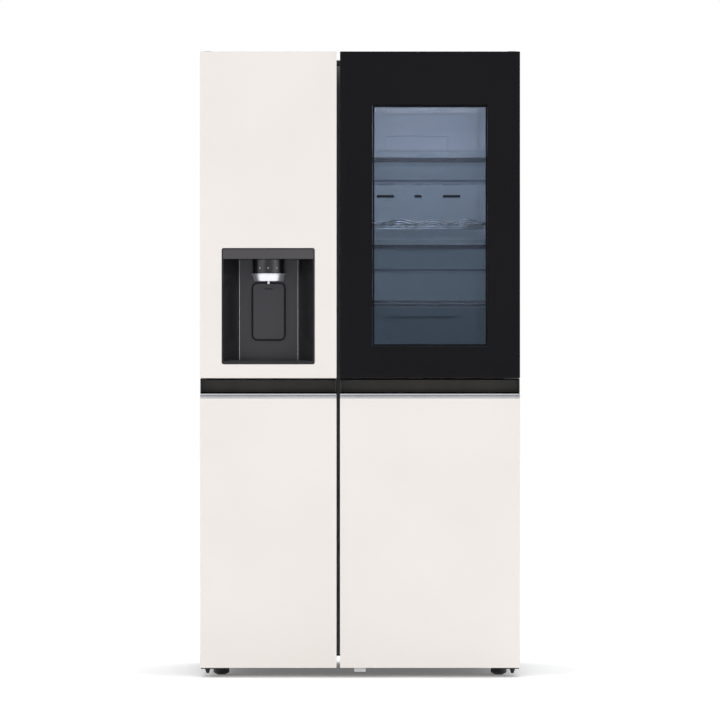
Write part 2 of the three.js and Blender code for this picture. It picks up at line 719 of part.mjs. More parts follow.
// The pieces that both doors share below the belt.
function lowerPanel({ x0, x1 }) {
  return plate(x0, x1, FRONT, FRONT + PANEL, DOOR_BOTTOM, LOWER_TOP, 1.5);
}
function lipStrip({ x0, x1 }) {
  return box(x0, x1, FRONT, FRONT + PANEL, LIP_BOTTOM, LIP_TOP);
}

// ---------- Freezer door ----------

const DISPENSER_X = (FREEZER_DOOR.x0 + FREEZER_DOOR.x1) / 2;
const DISPENSER_TOP = DISPENSER_BOTTOM + DISPENSER_HEIGHT;
const RECESS_BACK = FRONT + DISPENSER_DEPTH;
const RECESS_FLOOR = DISPENSER_BOTTOM + LEDGE;
const RECESS_TOP = DISPENSER_TOP - CONTROL_BAND;
const TAP_BOTTOM = RECESS_TOP - FIT - TAP_HEIGHT;
const RING_TOP = TAP_BOTTOM - FIT;
const PADDLE_Z1 = RING_TOP - RING_HEIGHT - PADDLE_DROP;
const PADDLE_Z0 = PADDLE_Z1 - PADDLE_HEIGHT;
const PADDLE_BACK = RECESS_BACK - 5;
const POCKET_BACK = RECESS_BACK + PADDLE_SWING_DEPTH;

// The dispenser's outer block: a shallow box with a deeper bump behind the paddle.
function dispenserBlock(grow) {
  const half = DISPENSER_WIDTH / 2 + grow;
  const bump = PADDLE_WIDTH / 2 + PADDLE_GROOVE + DISPENSER_WALL + grow;
  const x = DISPENSER_X;
  const z0 = DISPENSER_BOTTOM - grow;
  const z1 = DISPENSER_TOP + grow;
  const back = RECESS_BACK + DISPENSER_WALL + grow;
  const deep = POCKET_BACK + DISPENSER_WALL + grow;
  const below = PADDLE_Z0 - PADDLE_GROOVE - DISPENSER_WALL - grow;
  const above = PADDLE_Z1 + PADDLE_GROOVE + DISPENSER_WALL + grow;
  return [
    plate(x - half, x + half, FRONT - grow, back, z0, z1, 6),
    box(x - bump, x + bump, back - 1, deep, below, above),
  ];
}

// The recess is wide at the front and narrow at the back, with a pocket for the paddle's swing.
function dispenserHousing() {
  const wide = DISPENSER_WIDTH / 2 - 4;
  const narrow = RECESS_BACK_WIDTH / 2;
  const x = DISPENSER_X;
  const outline = [
    [x - wide, FRONT - 1],
    [x + wide, FRONT - 1],
    [x + narrow, RECESS_BACK],
    [x - narrow, RECESS_BACK],
  ];
  const pocket = PADDLE_WIDTH / 2 + PADDLE_GROOVE;
  const low = PADDLE_Z0 - PADDLE_GROOVE;
  const high = PADDLE_Z1 + PADDLE_GROOVE;
  const corner = PADDLE_CORNER + PADDLE_GROOVE;
  return carve(dispenserBlock(0), [
    raise(outline, RECESS_FLOOR, RECESS_TOP),
    plate(x - pocket, x + pocket, RECESS_BACK - 1, POCKET_BACK, low, high, corner),
  ]);
}

// The tap housing hangs from the top of the recess against its back; a chrome ring closes it below.
const TAP_Y = RECESS_BACK - 28;
function tapPiece(z0, z1, bottom, top, extra = []) {
  const behind = box(
    DISPENSER_X - 2 * TAP_RADIUS,
    DISPENSER_X + 2 * TAP_RADIUS,
    RECESS_BACK - FIT,
    RECESS_BACK + 2 * TAP_RADIUS,
    z0 - 20,
    z1 + 1,
  );
  return carve([post(DISPENSER_X, TAP_Y, z0, z1, bottom, top, 48), ...extra], [behind]);
}

function freezerBody() {
  const { x0, x1 } = FREEZER_DOOR;
  const a = x0 + BODY_INSET;
  const b = x1 - BODY_INSET;
  const bottom = DOOR_BOTTOM + 2;
  return carve(
    [
      box(a, b, BODY_FRONT, DOOR_BACK, bottom, BODY_TOP),
      box(a, b, BODY_FRONT, STEP_BACK, bottom, DOOR_TOP - 1),
    ],
    [...beltBlock(FREEZER_DOOR, FIT), ...dispenserBlock(FIT), ...pinHoles(-1)],
  );
}
function freezerUpperPanel() {
  const { x0, x1 } = FREEZER_DOOR;
  const skin = plate(x0, x1, FRONT, FRONT + PANEL, UPPER_BOTTOM, DOOR_TOP, 1.5);
  return carve([skin], dispenserBlock(FIT));
}

// A closed box for the ice maker, open at the bottom towards the chute.
const ICE_REACH = 100;
function iceBox() {
  const a = FREEZER.x0 + 17;
  const b = FREEZER.x1 - 33;
  const y0 = DOOR_BACK + FIT;
  const y1 = DOOR_BACK + ICE_REACH;
  const z0 = DISPENSER_TOP + 35;
  const z1 = CAVITY_TOP - 60;
  return carve(
    [box(a, b, y0, y1, z0, z1)],
    [box(a + 4, b - 4, y0 + 4, y1 - 4, z0 - 1, z1 - 4)],
  );
}

add("freezer_door_body", freezerBody(), WHITE);
add("freezer_door_panel_upper", freezerUpperPanel(), CREAM);
add("freezer_door_panel_lower", lowerPanel(FREEZER_DOOR), CREAM);
add("freezer_door_belt", belt(FREEZER_DOOR), BELT_DARK);
add("freezer_door_lip", lipStrip(FREEZER_DOOR), STEEL);
add("freezer_door_gasket", gasket(FREEZER), RUBBER);
add("dispenser_housing", dispenserHousing(), CHARCOAL);
add("dispenser_tap", tapPiece(TAP_BOTTOM, RECESS_TOP - FIT, TAP_RADIUS, TAP_RADIUS), DARK_STEEL);
const tip = post(DISPENSER_X, TAP_Y, RING_TOP - RING_HEIGHT - 8, RING_TOP - 1, 4, 5.3, 16);
add(
  "dispenser_tap_ring",
  tapPiece(RING_TOP - RING_HEIGHT, RING_TOP, TAP_RADIUS - 4, TAP_RADIUS + 1, [tip]),
  CHROME,
);
add(
  "dispenser_paddle",
  plate(
    DISPENSER_X - PADDLE_WIDTH / 2,
    DISPENSER_X + PADDLE_WIDTH / 2,
    PADDLE_BACK - PADDLE_THICK,
    PADDLE_BACK,
    PADDLE_Z0,
    PADDLE_Z1,
    PADDLE_CORNER,
  ),
  CHARCOAL,
);
add("ice_maker_box", iceBox(), WHITE);
const BIN_BACK = CASE_FRONT + BASKET_REACH;
const binTray = (x0, x1) =>
  tray(x0, x1, DOOR_BACK + FIT, BIN_BACK, BIN_BOTTOM, BIN_BOTTOM + BIN_HEIGHT);
add(
  "freezer_door_bin",
  binTray(FREEZER.x0 + 17, FREEZER.x1 - 23),
  CLEAR,
);

// ---------- Fridge door ----------

const FRAME_FRONT = FRONT + GLASS_DOOR_DEPTH + GLASS_DOOR_GAP;
const GLASS_HINGE_X = RIGHT - GLASS_HINGE_INSET;
const GLASS_HINGE_Y = FRONT + GLASS_HINGE_BACK;
const LUG = 4;
const LUG_HALF = 8;
const LUG_TURN = LUG_HALF * Math.SQRT2 + RUN; // room for the lug corners as the door turns
const GLASS_PIN_LENGTH = 14;
const LATCH_X0 = FRIDGE_DOOR.x0 + LATCH_INSET;
const LATCH_X1 = LATCH_X0 + LATCH_WIDTH;
const LATCH_FRONT = FRONT + 9.5;
const LATCH_BACK = LATCH_FRONT + 18;
const LATCH_BOTTOM = BELT_TOP - 4;
const FRAME_BOTTOM = UPPER_BOTTOM + SEAM;

// The body is solid below the belt and an open frame above it, with a lug for the glazed door's pin.
function fridgeBody() {
  const a = FRIDGE_DOOR.x0 + BODY_INSET;
  const b = FRIDGE_DOOR.x1 - BODY_INSET;
  const lug = box(
    GLASS_HINGE_X - LUG_HALF,
    GLASS_HINGE_X + LUG_HALF,
    GLASS_HINGE_Y - LUG_HALF,
    FRAME_FRONT + 1,
    BODY_TOP - LUG,
    BODY_TOP,
  );
  const opening = box(
    FRIDGE_DOOR.x0 + FRAME_WALL,
    FRIDGE.x1,
    FRAME_FRONT - 1,
    DOOR_BACK + 1,
    BASKET_BOTTOMS[0] - 10,
    CAVITY_TOP,
  );
  return carve(
    [
      box(a, b, BODY_FRONT, DOOR_BACK, DOOR_BOTTOM + 2, BELT_TOP),
      box(a, b, FRAME_FRONT, DOOR_BACK, BELT_TOP - 5, BODY_TOP),
      lug,
      post(GLASS_HINGE_X, GLASS_HINGE_Y, BODY_TOP - LUG - GLASS_PIN_LENGTH, BODY_TOP - 1, GLASS_PIN),
    ],
    [...beltBlock(FRIDGE_DOOR, FIT), opening, ...pinHoles(1)],
  );
}
add("fridge_door_body", fridgeBody(), WHITE);
add("fridge_door_panel_lower", lowerPanel(FRIDGE_DOOR), CREAM);
const latchNotch = box(
  LATCH_X0 - 3,
  LATCH_X1 + 3,
  FRONT,
  LATCH_BACK + 2,
  BELT_TOP - BELT_WALL - 1,
  BELT_TOP + 1,
);
add("fridge_door_belt", belt(FRIDGE_DOOR, [latchNotch]), BELT_DARK);
add("fridge_door_lip", lipStrip(FRIDGE_DOOR), STEEL);
add("fridge_door_gasket", gasket(FRIDGE), RUBBER);
BASKET_BOTTOMS.forEach((z, i) => {
  const x0 = FRIDGE_DOOR.x0 + FRAME_WALL + 3;
  const x1 = FRIDGE.x1 - 6;
  add("door_basket_" + (i + 1), tray(x0, x1, FRAME_FRONT + 4, BIN_BACK, z, z + BASKET_HEIGHTS[i]), CLEAR);
});
add(
  "fridge_door_bin",
  binTray(FRIDGE.x0 + 29, FRIDGE.x1 - 16),
  CLEAR,
);

// ---------- Glazed door ----------

const WINDOW = {
  x0: FRIDGE_DOOR.x0 + WINDOW_SIDE,
  x1: FRIDGE_DOOR.x1 - WINDOW_SIDE,
  z0: UPPER_BOTTOM + WINDOW_BOTTOM,
  z1: DOOR_TOP - WINDOW_TOP,
};
const GLASS_BACK = FRONT + GLASS_DOOR_DEPTH;
function glassFrame() {
  const cut = box(
    GLASS_HINGE_X - LUG_TURN,
    RIGHT,
    FRONT,
    GLASS_BACK + 1,
    BODY_TOP - LUG - RUN,
    DOOR_TOP,
  );
  const reach = GLASS_PIN_LENGTH + 2;
  return carve(
    [
      box(
        FRIDGE_DOOR.x0 + BODY_INSET,
        FRIDGE_DOOR.x1 - BODY_INSET,
        FRONT + GLASS + FIT,
        GLASS_BACK,
        FRAME_BOTTOM,
        DOOR_TOP - BODY_INSET,
      ),
    ],
    [
      box(WINDOW.x0, WINDOW.x1, FRONT, GLASS_BACK + 1, WINDOW.z0, WINDOW.z1),
      cut,
      post(GLASS_HINGE_X, GLASS_HINGE_Y, BODY_TOP - LUG - reach, BODY_TOP, GLASS_PIN + FIT),
      post(GLASS_HINGE_X, GLASS_HINGE_Y, FRAME_BOTTOM - 1, FRAME_BOTTOM + reach, GLASS_PIN + FIT),
      box(LATCH_X0 + 3, LATCH_X1 - 3, LATCH_FRONT + 1, LATCH_BACK - 1, FRAME_BOTTOM - 1, FRAME_BOTTOM + 12),
    ],
  );
}
add("glass_door_frame", glassFrame(), BLACK);
add(
  "glass_door_pane",
  plate(FRIDGE_DOOR.x0, FRIDGE_DOOR.x1, FRONT, FRONT + GLASS, UPPER_BOTTOM, DOOR_TOP, 2),
  BLACK_GLASS,
);
add(
  "glass_door_latch",
  carve([
    box(LATCH_X0, LATCH_X1, LATCH_FRONT, LATCH_BACK, LATCH_BOTTOM, FRAME_BOTTOM - LATCH_TRAVEL - RUN),
    box(LATCH_X0 + 6, LATCH_X1 - 6, LATCH_FRONT + 4, LATCH_BACK - 4, LATCH_BOTTOM + 1, FRAME_BOTTOM + 4),
  ]),
  BLACK,
);
add(
  "glass_door_hinge_lower",
  carve([
    box(
      GLASS_HINGE_X - 32,
      RIGHT - BODY_INSET,
      GLASS_HINGE_Y - 13,
      FRAME_FRONT - FIT,
      BELT_TOP + FIT,
      UPPER_BOTTOM - RUN,
    ),
    post(GLASS_HINGE_X, GLASS_HINGE_Y, BELT_TOP + 1, FRAME_BOTTOM + GLASS_PIN_LENGTH, GLASS_PIN),
  ]),
  STEEL,
);

export default fridge;
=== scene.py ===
# %% [markdown]
# # A side by side refrigerator
# The frame holds the working model: every cabinet piece, door, drawer, bin, hinge and foot, at its real size.
# This lesson gives each piece its finished edges, its small fittings and the finish that a maker would use.
# All sizes are in metres, and the doors face -Y.

# %% Load the frame
import json
import math

import bpy
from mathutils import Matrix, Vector


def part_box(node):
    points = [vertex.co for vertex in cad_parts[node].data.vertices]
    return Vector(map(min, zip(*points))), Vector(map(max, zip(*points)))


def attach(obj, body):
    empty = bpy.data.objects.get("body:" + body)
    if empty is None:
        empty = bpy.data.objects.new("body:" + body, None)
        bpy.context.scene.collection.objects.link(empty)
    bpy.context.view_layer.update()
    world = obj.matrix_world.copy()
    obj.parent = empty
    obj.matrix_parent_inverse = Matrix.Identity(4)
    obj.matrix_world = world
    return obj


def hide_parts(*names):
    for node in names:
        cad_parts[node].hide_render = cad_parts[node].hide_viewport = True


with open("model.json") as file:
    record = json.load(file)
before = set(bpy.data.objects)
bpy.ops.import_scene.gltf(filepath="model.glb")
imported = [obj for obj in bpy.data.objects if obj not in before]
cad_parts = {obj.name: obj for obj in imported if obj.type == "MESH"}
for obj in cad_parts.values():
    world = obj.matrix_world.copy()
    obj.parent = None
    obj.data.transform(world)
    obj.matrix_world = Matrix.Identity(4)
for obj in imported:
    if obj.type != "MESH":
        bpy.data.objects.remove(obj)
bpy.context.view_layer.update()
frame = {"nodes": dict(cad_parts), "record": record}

MM = 0.001
# The air gap between a fitting and the piece it sits on.
FIT = 0.4 * MM
DOORS = ("freezer_door", "fridge_door")
SIDES = ("left", "right")
RECORD = frame["record"]
BODY_OF = {
    node: body for body, nodes in RECORD["behaviour"]["bodies"].items() for node in nodes
}

# %% [markdown]
# ## Studio
# A long lens far in front keeps the doors' edges straight, so the fridge reads as a flat, even front.
# The room is a pale floor under an even white sky. The sky is darker behind the camera, as a studio is,
# so that the black glass keeps its depth.

# %% Camera
FRAME_SIDE = 2.053
CAMERA_DISTANCE = 14.0
CAMERA_HEIGHT = 0.906
SENSOR = 36.0
front_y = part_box("freezer_door_panel_lower")[0][1]
bpy.ops.object.camera_add(
    location=(0, front_y - CAMERA_DISTANCE, CAMERA_HEIGHT),
    rotation=(math.radians(90), 0, 0),
)
camera = bpy.context.object
camera.name = "front_camera"
camera.data.sensor_width = SENSOR
camera.data.lens = SENSOR * CAMERA_DISTANCE / FRAME_SIDE
camera.data.clip_end = 100
bpy.context.scene.camera = camera
bpy.context.scene.view_settings.view_transform = "Standard"
bpy.context.scene.cycles.transparent_max_bounces = 32
print("lens in millimetres:", round(camera.data.lens, 1))

# %% [markdown]
# One function adds a shader node with its settings and links, and one turns a hex colour into the linear
# values that a shader works with. Every finish below is made with these two.

# %% Node helpers
def linear(code):
    """An sRGB hex colour as linear values with alpha."""
    values = [int(code[i : i + 2], 16) / 255 for i in (1, 3, 5)]
    return [v / 12.92 if v <= 0.04045 else ((v + 0.055) / 1.055) ** 2.4 for v in values] + [1.0]


def put(tree, kind, inputs=None, **settings):
    """Adds a node: settings are its properties, inputs are values or sockets to link."""
    made = tree.nodes.new("ShaderNode" + kind)
    for key, value in settings.items():
        setattr(made, key, value)
    for key, value in (inputs or {}).items():
        if isinstance(value, bpy.types.NodeSocket):
            tree.links.new(value, made.inputs[key])
        else:
            made.inputs[key].default_value = value
    return made


def blank(name):
    """A new material with an empty node tree."""
    made = bpy.data.materials.new(name)
    made.use_nodes = True
    made.node_tree.nodes.clear()
    return made, made.node_tree


def end(tree, shader):
    """Joins a shader to the material's output."""
    put(tree, "OutputMaterial", {"Surface": shader})


# %% Sky, floor and lamps
SKY_SEEN = 1.0
SKY_LIGHT = 0.95
SKY_DIM = 0.3
DIM_WHOLE = -0.97
DIM_STARTS = -0.8
world = bpy.data.worlds.new("studio_sky")
bpy.context.scene.world = world
world.use_nodes = True
sky = world.node_tree
sky.nodes.clear()
seen = put(sky, "Background", {"Color": (1, 1, 1, 1), "Strength": SKY_SEEN})
towards = put(sky, "SeparateXYZ", {0: put(sky, "TexCoord").outputs["Generated"]})
dim = put(
    sky,
    "MapRange",
    {
        "Value": towards.outputs[1],
        "From Min": DIM_WHOLE,
        "From Max": DIM_STARTS,
        "To Min": SKY_DIM,
        "To Max": SKY_LIGHT,
    },
)
cast = put(sky, "Background", {"Color": (1, 1, 1, 1), "Strength": dim.outputs[0]})
ray = put(sky, "LightPath")
both = put(sky, "MixShader", {0: ray.outputs["Is Camera Ray"], 1: cast.outputs[0], 2: seen.outputs[0]})
put(sky, "OutputWorld", {"Surface": both.outputs[0]})

FLOOR_SIDE = 60
FLOOR_DROP = 0.5 * MM
FLOOR_GLOW = 0.14
bpy.ops.object.select_all(action="DESELECT")
bpy.ops.mesh.primitive_plane_add(size=FLOOR_SIDE, location=(0, 0, -FLOOR_DROP))
floor = bpy.context.object
floor.name = "studio_floor"
floor_mat, tree = blank("pale_studio_floor")
base = put(tree, "BsdfDiffuse", {"Color": linear("#fbfbfb")})
fill = put(tree, "Emission", {"Color": linear("#ffffff"), "Strength": FLOOR_GLOW})
end(tree, put(tree, "AddShader", {0: base.outputs[0], 1: fill.outputs[0]}).outputs[0])
floor.data.materials.append(floor_mat)


def softbox(name, place, aim, size, power, colour=(1, 1, 1)):
    """A rectangular studio lamp that points at a place and can't be seen itself."""
    bpy.ops.object.light_add(type="AREA", location=place)
    lamp = bpy.context.object
    lamp.name = name
    lamp.rotation_euler = (Vector(aim) - Vector(place)).to_track_quat("-Z", "Y").to_euler()
    lamp.data.shape = "RECTANGLE"
    lamp.data.size, lamp.data.size_y = size
    lamp.data.energy = power
    lamp.data.color = colour
    lamp.visible_camera = False
    return lamp


softbox("key_left", (-5.0, -5.5, 3.6), (0, 0, 0.9), (2.5, 2.5), 60)
softbox("key_right", (5.5, -5.0, 3.0), (0, 0, 0.9), (2.5, 2.5), 52)
softbox("top_soft", (0, 0.5, 5.0), (0, 0, 0), (3.0, 3.0), 40)
softbox("back_soft", (1.5, 6.0, 3.0), (0, 0, 0.9), (3.0, 3.0), 60)

# %% [markdown]
# ## Finishes
# Nearly every finish on an appliance is a base colour with a fine grain: orange peel in paint, spark texture
# on moulded plastic, or brushed lines on metal. One recipe covers them: noise at a real grain size drives
# a small change of colour, of roughness and of height.

# %% The grain recipe
def grain(name, colours, rough, metal=0.0, size_mm=1.0, height_mm=0.01, stretch=(1, 1, 1), spec=0.5,
          coat=0.0, swing=0.05, cloud=(3, 3, 3)):
    """A solid finish: two close colours mixed by noise of one grain size, which also moves the gloss."""
    blend_from, blend_to, relief_strength = 0.12, 0.4, 0.6
    made, tree = blank(name)
    place = put(tree, "TexCoord").outputs["Object"]
    scaled = put(tree, "Mapping", {"Vector": place, "Scale": stretch}).outputs[0]
    fine = put(tree, "TexNoise", {"Vector": scaled, "Scale": 1 / (size_mm * MM), "Detail": 3.0})
    drift = put(tree, "Mapping", {"Vector": place, "Scale": cloud}).outputs[0]
    wide = put(tree, "TexNoise", {"Vector": drift, "Scale": 1.0, "Detail": 2.0})
    blend = put(tree, "Math", {0: fine.outputs[0], 1: wide.outputs[0]}, operation="MULTIPLY")
    spread = put(
        tree, "MapRange", {"Value": blend.outputs[0], "From Min": blend_from, "From Max": blend_to}
    ).outputs[0]
    colour = put(
        tree, "Mix", {"Factor": spread, 6: linear(colours[0]), 7: linear(colours[1])}, data_type="RGBA"
    )
    gloss = put(
        tree, "MapRange", {"Value": fine.outputs[0], "To Min": rough - swing, "To Max": rough + swing}
    )
    relief = put(
        tree,
        "Bump",
        {"Height": fine.outputs[0], "Distance": height_mm * MM, "Strength": relief_strength},
    )
    shader = put(
        tree,
        "BsdfPrincipled",
        {
            "Base Color": colour.outputs[2],
            "Roughness": gloss.outputs[0],
            "Metallic": metal,
            "Specular IOR Level": spec,
            "Coat Weight": coat,
            "Normal": relief.outputs[0],
        },
    )
    end(tree, shader.outputs[0])
    return made


def outside(tree, gloss):
    """Keeps a mirror effect to the outer side of a clear wall, so that its inner side stays clear."""
    back = put(tree, "NewGeometry").outputs["Backfacing"]
    front = put(tree, "Math", {0: 1.0, 1: back}, operation="SUBTRACT").outputs[0]
    return put(tree, "Math", {0: gloss, 1: front}, operation="MULTIPLY").outputs[0]


def see_through(name, tint, gloss_rough, body, share, ior=1.45):
    """A clear moulding or sheet: light passes tinted, the surface mirrors a little, and some haze shows."""
    ripple_mm, ripple_height_mm, ripple_strength, passed_on = 40, 0.01, 0.2, 0.6
    made, tree = blank(name)
    place = put(tree, "TexCoord").outputs["Object"]
    ripple = put(tree, "TexNoise", {"Vector": place, "Scale": 1 / (ripple_mm * MM), "Detail": 1.0})
    relief = put(
        tree,
        "Bump",
        {"Height": ripple.outputs[0], "Distance": ripple_height_mm * MM, "Strength": ripple_strength},
    )
    clear = put(tree, "BsdfTransparent", {"Color": linear(tint)})
    shine = put(tree, "BsdfDiffuse", {"Color": linear(body)})
    through = put(tree, "BsdfTranslucent", {"Color": linear(body)})
    haze = put(tree, "MixShader", {0: passed_on, 1: shine.outputs[0], 2: through.outputs[0]})
    mirror = put(tree, "BsdfGlossy", {"Roughness": gloss_rough, "Normal": relief.outputs[0]})
    edge = outside(tree, put(tree, "Fresnel", {"IOR": ior}).outputs[0])
    film = put(tree, "MixShader", {0: share, 1: clear.outputs[0], 2: haze.outputs[0]})
    whole = put(tree, "MixShader", {0: edge, 1: film.outputs[0], 2: mirror.outputs[0]})
    end(tree, whole.outputs[0])
    return made


# %% [markdown]
# The panels are steel sheet with a baked satin coat, which leaves a faint orange peel of about 1.5 mm.
# The cabinet sides are steel with a plain grey coat. The handle belt is moulded in glossy dark ABS, with
# broad lighter vertical stripes painted in as highlight streaks, and the lip strips are anodised aluminium,
# brushed lengthways.

# %% Solid finishes
cream_coat = grain("baked_satin_coat_cream", ("#e4deda", "#e8e3df"), 0.42, size_mm=1.5, height_mm=0.006)
case_coat = grain("baked_coat_grey", ("#8d8f92", "#97999c"), 0.42, 0.25, size_mm=1.2, height_mm=0.012)
zinc_sheet = grain("galvanised_sheet", ("#9fa2a4", "#b6b9bb"), 0.46, 0.35, size_mm=9, height_mm=0.01)
door_abs = grain("moulded_abs_off_white", ("#cfccc8", "#d8d5d1"), 0.4, size_mm=1.0, height_mm=0.01)
liner_abs = grain("moulded_abs_white", ("#e9edf1", "#f2f5f7"), 0.35, size_mm=1.0, height_mm=0.01)
# The slow noise is stretched along X, so the belt runs in broad light and dark vertical stripes: painted
# highlight streaks.
belt_abs_painted_streaks = grain(
    "moulded_abs_umber_painted_streaks", ("#211e1c", "#38342f"), 0.3, size_mm=0.8, height_mm=0.004, coat=0.2,
    cloud=(9, 0.5, 0.5),
)
lip_aluminium = grain(
    "brushed_anodised_aluminium", ("#c2c4c9", "#d6d8dc"), 0.2, 1.0, size_mm=0.6, height_mm=0.003,
    stretch=(0.02, 1, 1),
)
hinge_steel = grain("zinc_plated_steel", ("#b3b4b6", "#cfd0d1"), 0.3, 1.0, size_mm=3, height_mm=0.006)
dark_steel = grain("black_dip_coated_steel", ("#222325", "#2e2f31"), 0.45, 0.4, size_mm=1.5, height_mm=0.02)
black_pp = grain("moulded_polypropylene_black", ("#1a1a1b", "#232324"), 0.5, size_mm=0.7, height_mm=0.02)
# Graphite for the dispenser's back panel and the ice maker grip; on the duct outlets it paints the shade
# inside the openings.
graphite_abs_and_vent_shade = grain("graphite_abs_and_painted_vent_shade", ("#3c3c40", "#454548"), 0.3, 0.3, size_mm=0.5, height_mm=0.004)
recess_abs = grain("gloss_abs_black", ("#1d1c1f", "#252428"), 0.24, size_mm=0.7, height_mm=0.004)
band_abs = grain("smoked_acrylic_band", ("#4c4a4c", "#565456"), 0.2, 0.2, size_mm=0.5, height_mm=0.002)
paddle_abs = grain(
    "painted_abs_dark_graphite", ("#3c3c40", "#444448"), 0.3, 0.3, size_mm=0.5, height_mm=0.004
)
tap_metal = grain("tinted_nickel_plate", ("#3d3d40", "#57575a"), 0.26, 1.0, size_mm=0.5, height_mm=0.003)
satin_chrome = grain(
    "satin_chrome_plate", ("#e2e2ea", "#eeeef4"), 0.32, 0.9, size_mm=2, height_mm=0.002, swing=0.02
)
# Pure black and nearly matt: it paints the shadow in the seams above and below the belts and the shade in the
# paddle slot.
painted_shade_black = grain("flat_black_painted_shade", ("#030303", "#070707"), 0.95, size_mm=1.5, height_mm=0.05, spec=0.05)
trim_metal = grain(
    "satin_plated_trim", ("#c9ccd2", "#dadce0"), 0.24, 0.9, size_mm=0.6, height_mm=0.003, swing=0.03
)
chrome = grain("chrome_plate", ("#dcdde0", "#e8e9eb"), 0.09, 1.0, size_mm=30, height_mm=0.002, swing=0.02)
seal_vinyl = grain("extruded_vinyl_grey", ("#8f9193", "#9c9ea0"), 0.6, size_mm=1.2, height_mm=0.02)
foam_finish = grain("rigid_foam_yellow", ("#d9c896", "#e8dcb3"), 0.9, size_mm=2.5, height_mm=0.3)
compressor_coat = grain("black_enamel", ("#161617", "#202021"), 0.35, size_mm=2, height_mm=0.02)
glide_nylon = grain("nylon_grey", ("#c8cacb", "#d6d7d8"), 0.45, size_mm=0.8, height_mm=0.01)

# %% [markdown]
# Shelves are tempered glass with a faint blue edge, baskets and drawers are clear moulded polystyrene,
# and the freezer's are a little milky. A lamp cover is milky acrylic lit from behind.

# %% Clear finishes
shelf_glass = see_through("tempered_shelf_glass", "#f0f5f6", 0.04, "#c3d2d8", 0.05)
clear_ps = see_through("clear_polystyrene", "#fbfcfc", 0.08, "#d4d9df", 0.03, 1.2)
milky_ps = see_through("milky_polystyrene", "#e6ecf1", 0.2, "#ccd6de", 0.3)
frosted_ps = see_through("frosted_polystyrene", "#eceff3", 0.25, "#c4ccd8", 0.5)
clear_pane = see_through("low_iron_glass", "#ffffff", 0.03, "#e8eef0", 0.01, 1.3)
rail_ps = see_through("bright_polystyrene_rail", "#ffffff", 0.12, "#f2f4f7", 0.75)


def lit(name, colour, power, dot_mm):
    """A lit film or lamp cover: light that varies a little over the surface, as behind real opal plastic."""
    made, tree = blank(name)
    place = put(tree, "TexCoord").outputs["Object"]
    dots = put(tree, "TexNoise", {"Vector": place, "Scale": 1 / (dot_mm * MM)})
    level = put(tree, "MapRange", {"Value": dots.outputs[0], "To Min": power * 0.8, "To Max": power * 1.2})
    glow = put(tree, "Emission", {"Color": linear(colour), "Strength": level.outputs[0]})
    end(tree, glow.outputs[0])
    return made


lamp_acrylic = lit("lit_opal_acrylic", "#dfe9ff", 2.0, 12)
side_acrylic = lit("lit_opal_acrylic_side", "#f3f5f8", 0.9, 12)
icon_light = lit("lit_symbol_film", "#e8eaee", 0.28, 2)
print("finishes:", len(bpy.data.materials))

# %% [markdown]
# ## Edges
# No real edge is sharp: sheet steel is folded over a small radius and mouldings have a draft and a round.
# A copy of each working piece is merged, its flat faces are made whole again, and its edges are rounded.
# The rounded copy stands for the working piece and moves with the same body.

# %% Rounded copies of the working pieces
MERGE = 0.00002
FLAT = math.radians(1)
SHARP = math.radians(30)
SMOOTH = math.radians(50)


def choose(thing):
    """Selects one object alone and makes it active."""
    bpy.ops.object.select_all(action="DESELECT")
    thing.select_set(True)
    bpy.context.view_layer.objects.active = thing


def dress(thing, finish, body):
    """Gives a finished piece its material and its body."""
    thing.data.materials.clear()
    thing.data.materials.append(finish)
    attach(thing, body)
    return thing


def soften(thing, width_mm, segments=2, angle=SHARP):
    """Rounds every sharp edge, then lets the wide flat faces keep their own direction in the shading."""
    choose(thing)
    bpy.ops.object.modifier_add(type="BEVEL")
    edge = thing.modifiers[-1]
    edge.width = width_mm * MM
    edge.segments = segments
    edge.limit_method = "ANGLE"
    edge.angle_limit = angle
    edge.use_clamp_overlap = True
    bpy.ops.object.modifier_apply(modifier=edge.name)
    bpy.ops.object.shade_smooth_by_angle(angle=SMOOTH)
    bpy.ops.object.modifier_add(type="WEIGHTED_NORMAL")
    flats = thing.modifiers[-1]
    flats.keep_sharp = True
    bpy.ops.object.modifier_apply(modifier=flats.name)


def copy_of(node):
    """A whole-faced copy of a working piece, ready to shape."""
    source = frame["nodes"][node]
    choose(source)
    bpy.ops.object.duplicate()
    thing = bpy.context.object
    thing.parent = None
    thing.matrix_world = source.matrix_world
    thing.name = node + "_finished"
    choose(thing)
    bpy.ops.object.mode_set(mode="EDIT")
    bpy.ops.mesh.select_all(action="SELECT")
    bpy.ops.mesh.remove_doubles(threshold=MERGE)
    bpy.ops.mesh.dissolve_limited(angle_limit=FLAT)
    bpy.ops.object.mode_set(mode="OBJECT")
    return thing


def stand_in(thing, node, finish):
    """Lets a finished copy take a working piece's place."""
    dress(thing, finish, BODY_OF[node])
    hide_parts(node)
    return thing


def rounded(node, finish, width_mm, segments=2):
    """Stands a rounded copy in for a working piece."""
    thing = copy_of(node)
    soften(thing, width_mm, segments)
    return stand_in(thing, node, finish)


# %% [markdown]
# New fittings start as a block, a cylinder or a ring at their size and place. A block can be pressed or cut
# first, and then an applied bevel rounds its edges as a mould or a press would.

# %% Blocks, rods and rings
def slab(name, low, high):
    """A plain block between two corners, ready to shape."""
    bpy.ops.object.select_all(action="DESELECT")
    bpy.ops.mesh.primitive_cube_add(size=1)
    thing = bpy.context.object
    thing.name = name
    thing.scale = [b - a for a, b in zip(low, high)]
    thing.location = [(a + b) / 2 for a, b in zip(low, high)]
    bpy.ops.object.transform_apply(location=True, rotation=False, scale=True)
    return thing


def block(name, low, high, finish, body, edge_mm=1.0, segments=2):
    """A block between two corners with rounded edges."""
    thing = slab(name, low, high)
    bpy.ops.object.mode_set(mode="EDIT")
    bpy.ops.mesh.select_all(action="SELECT")
    bpy.ops.mesh.normals_make_consistent(inside=False)
    bpy.ops.object.mode_set(mode="OBJECT")
    soften(thing, edge_mm, segments)
    return dress(thing, finish, body)


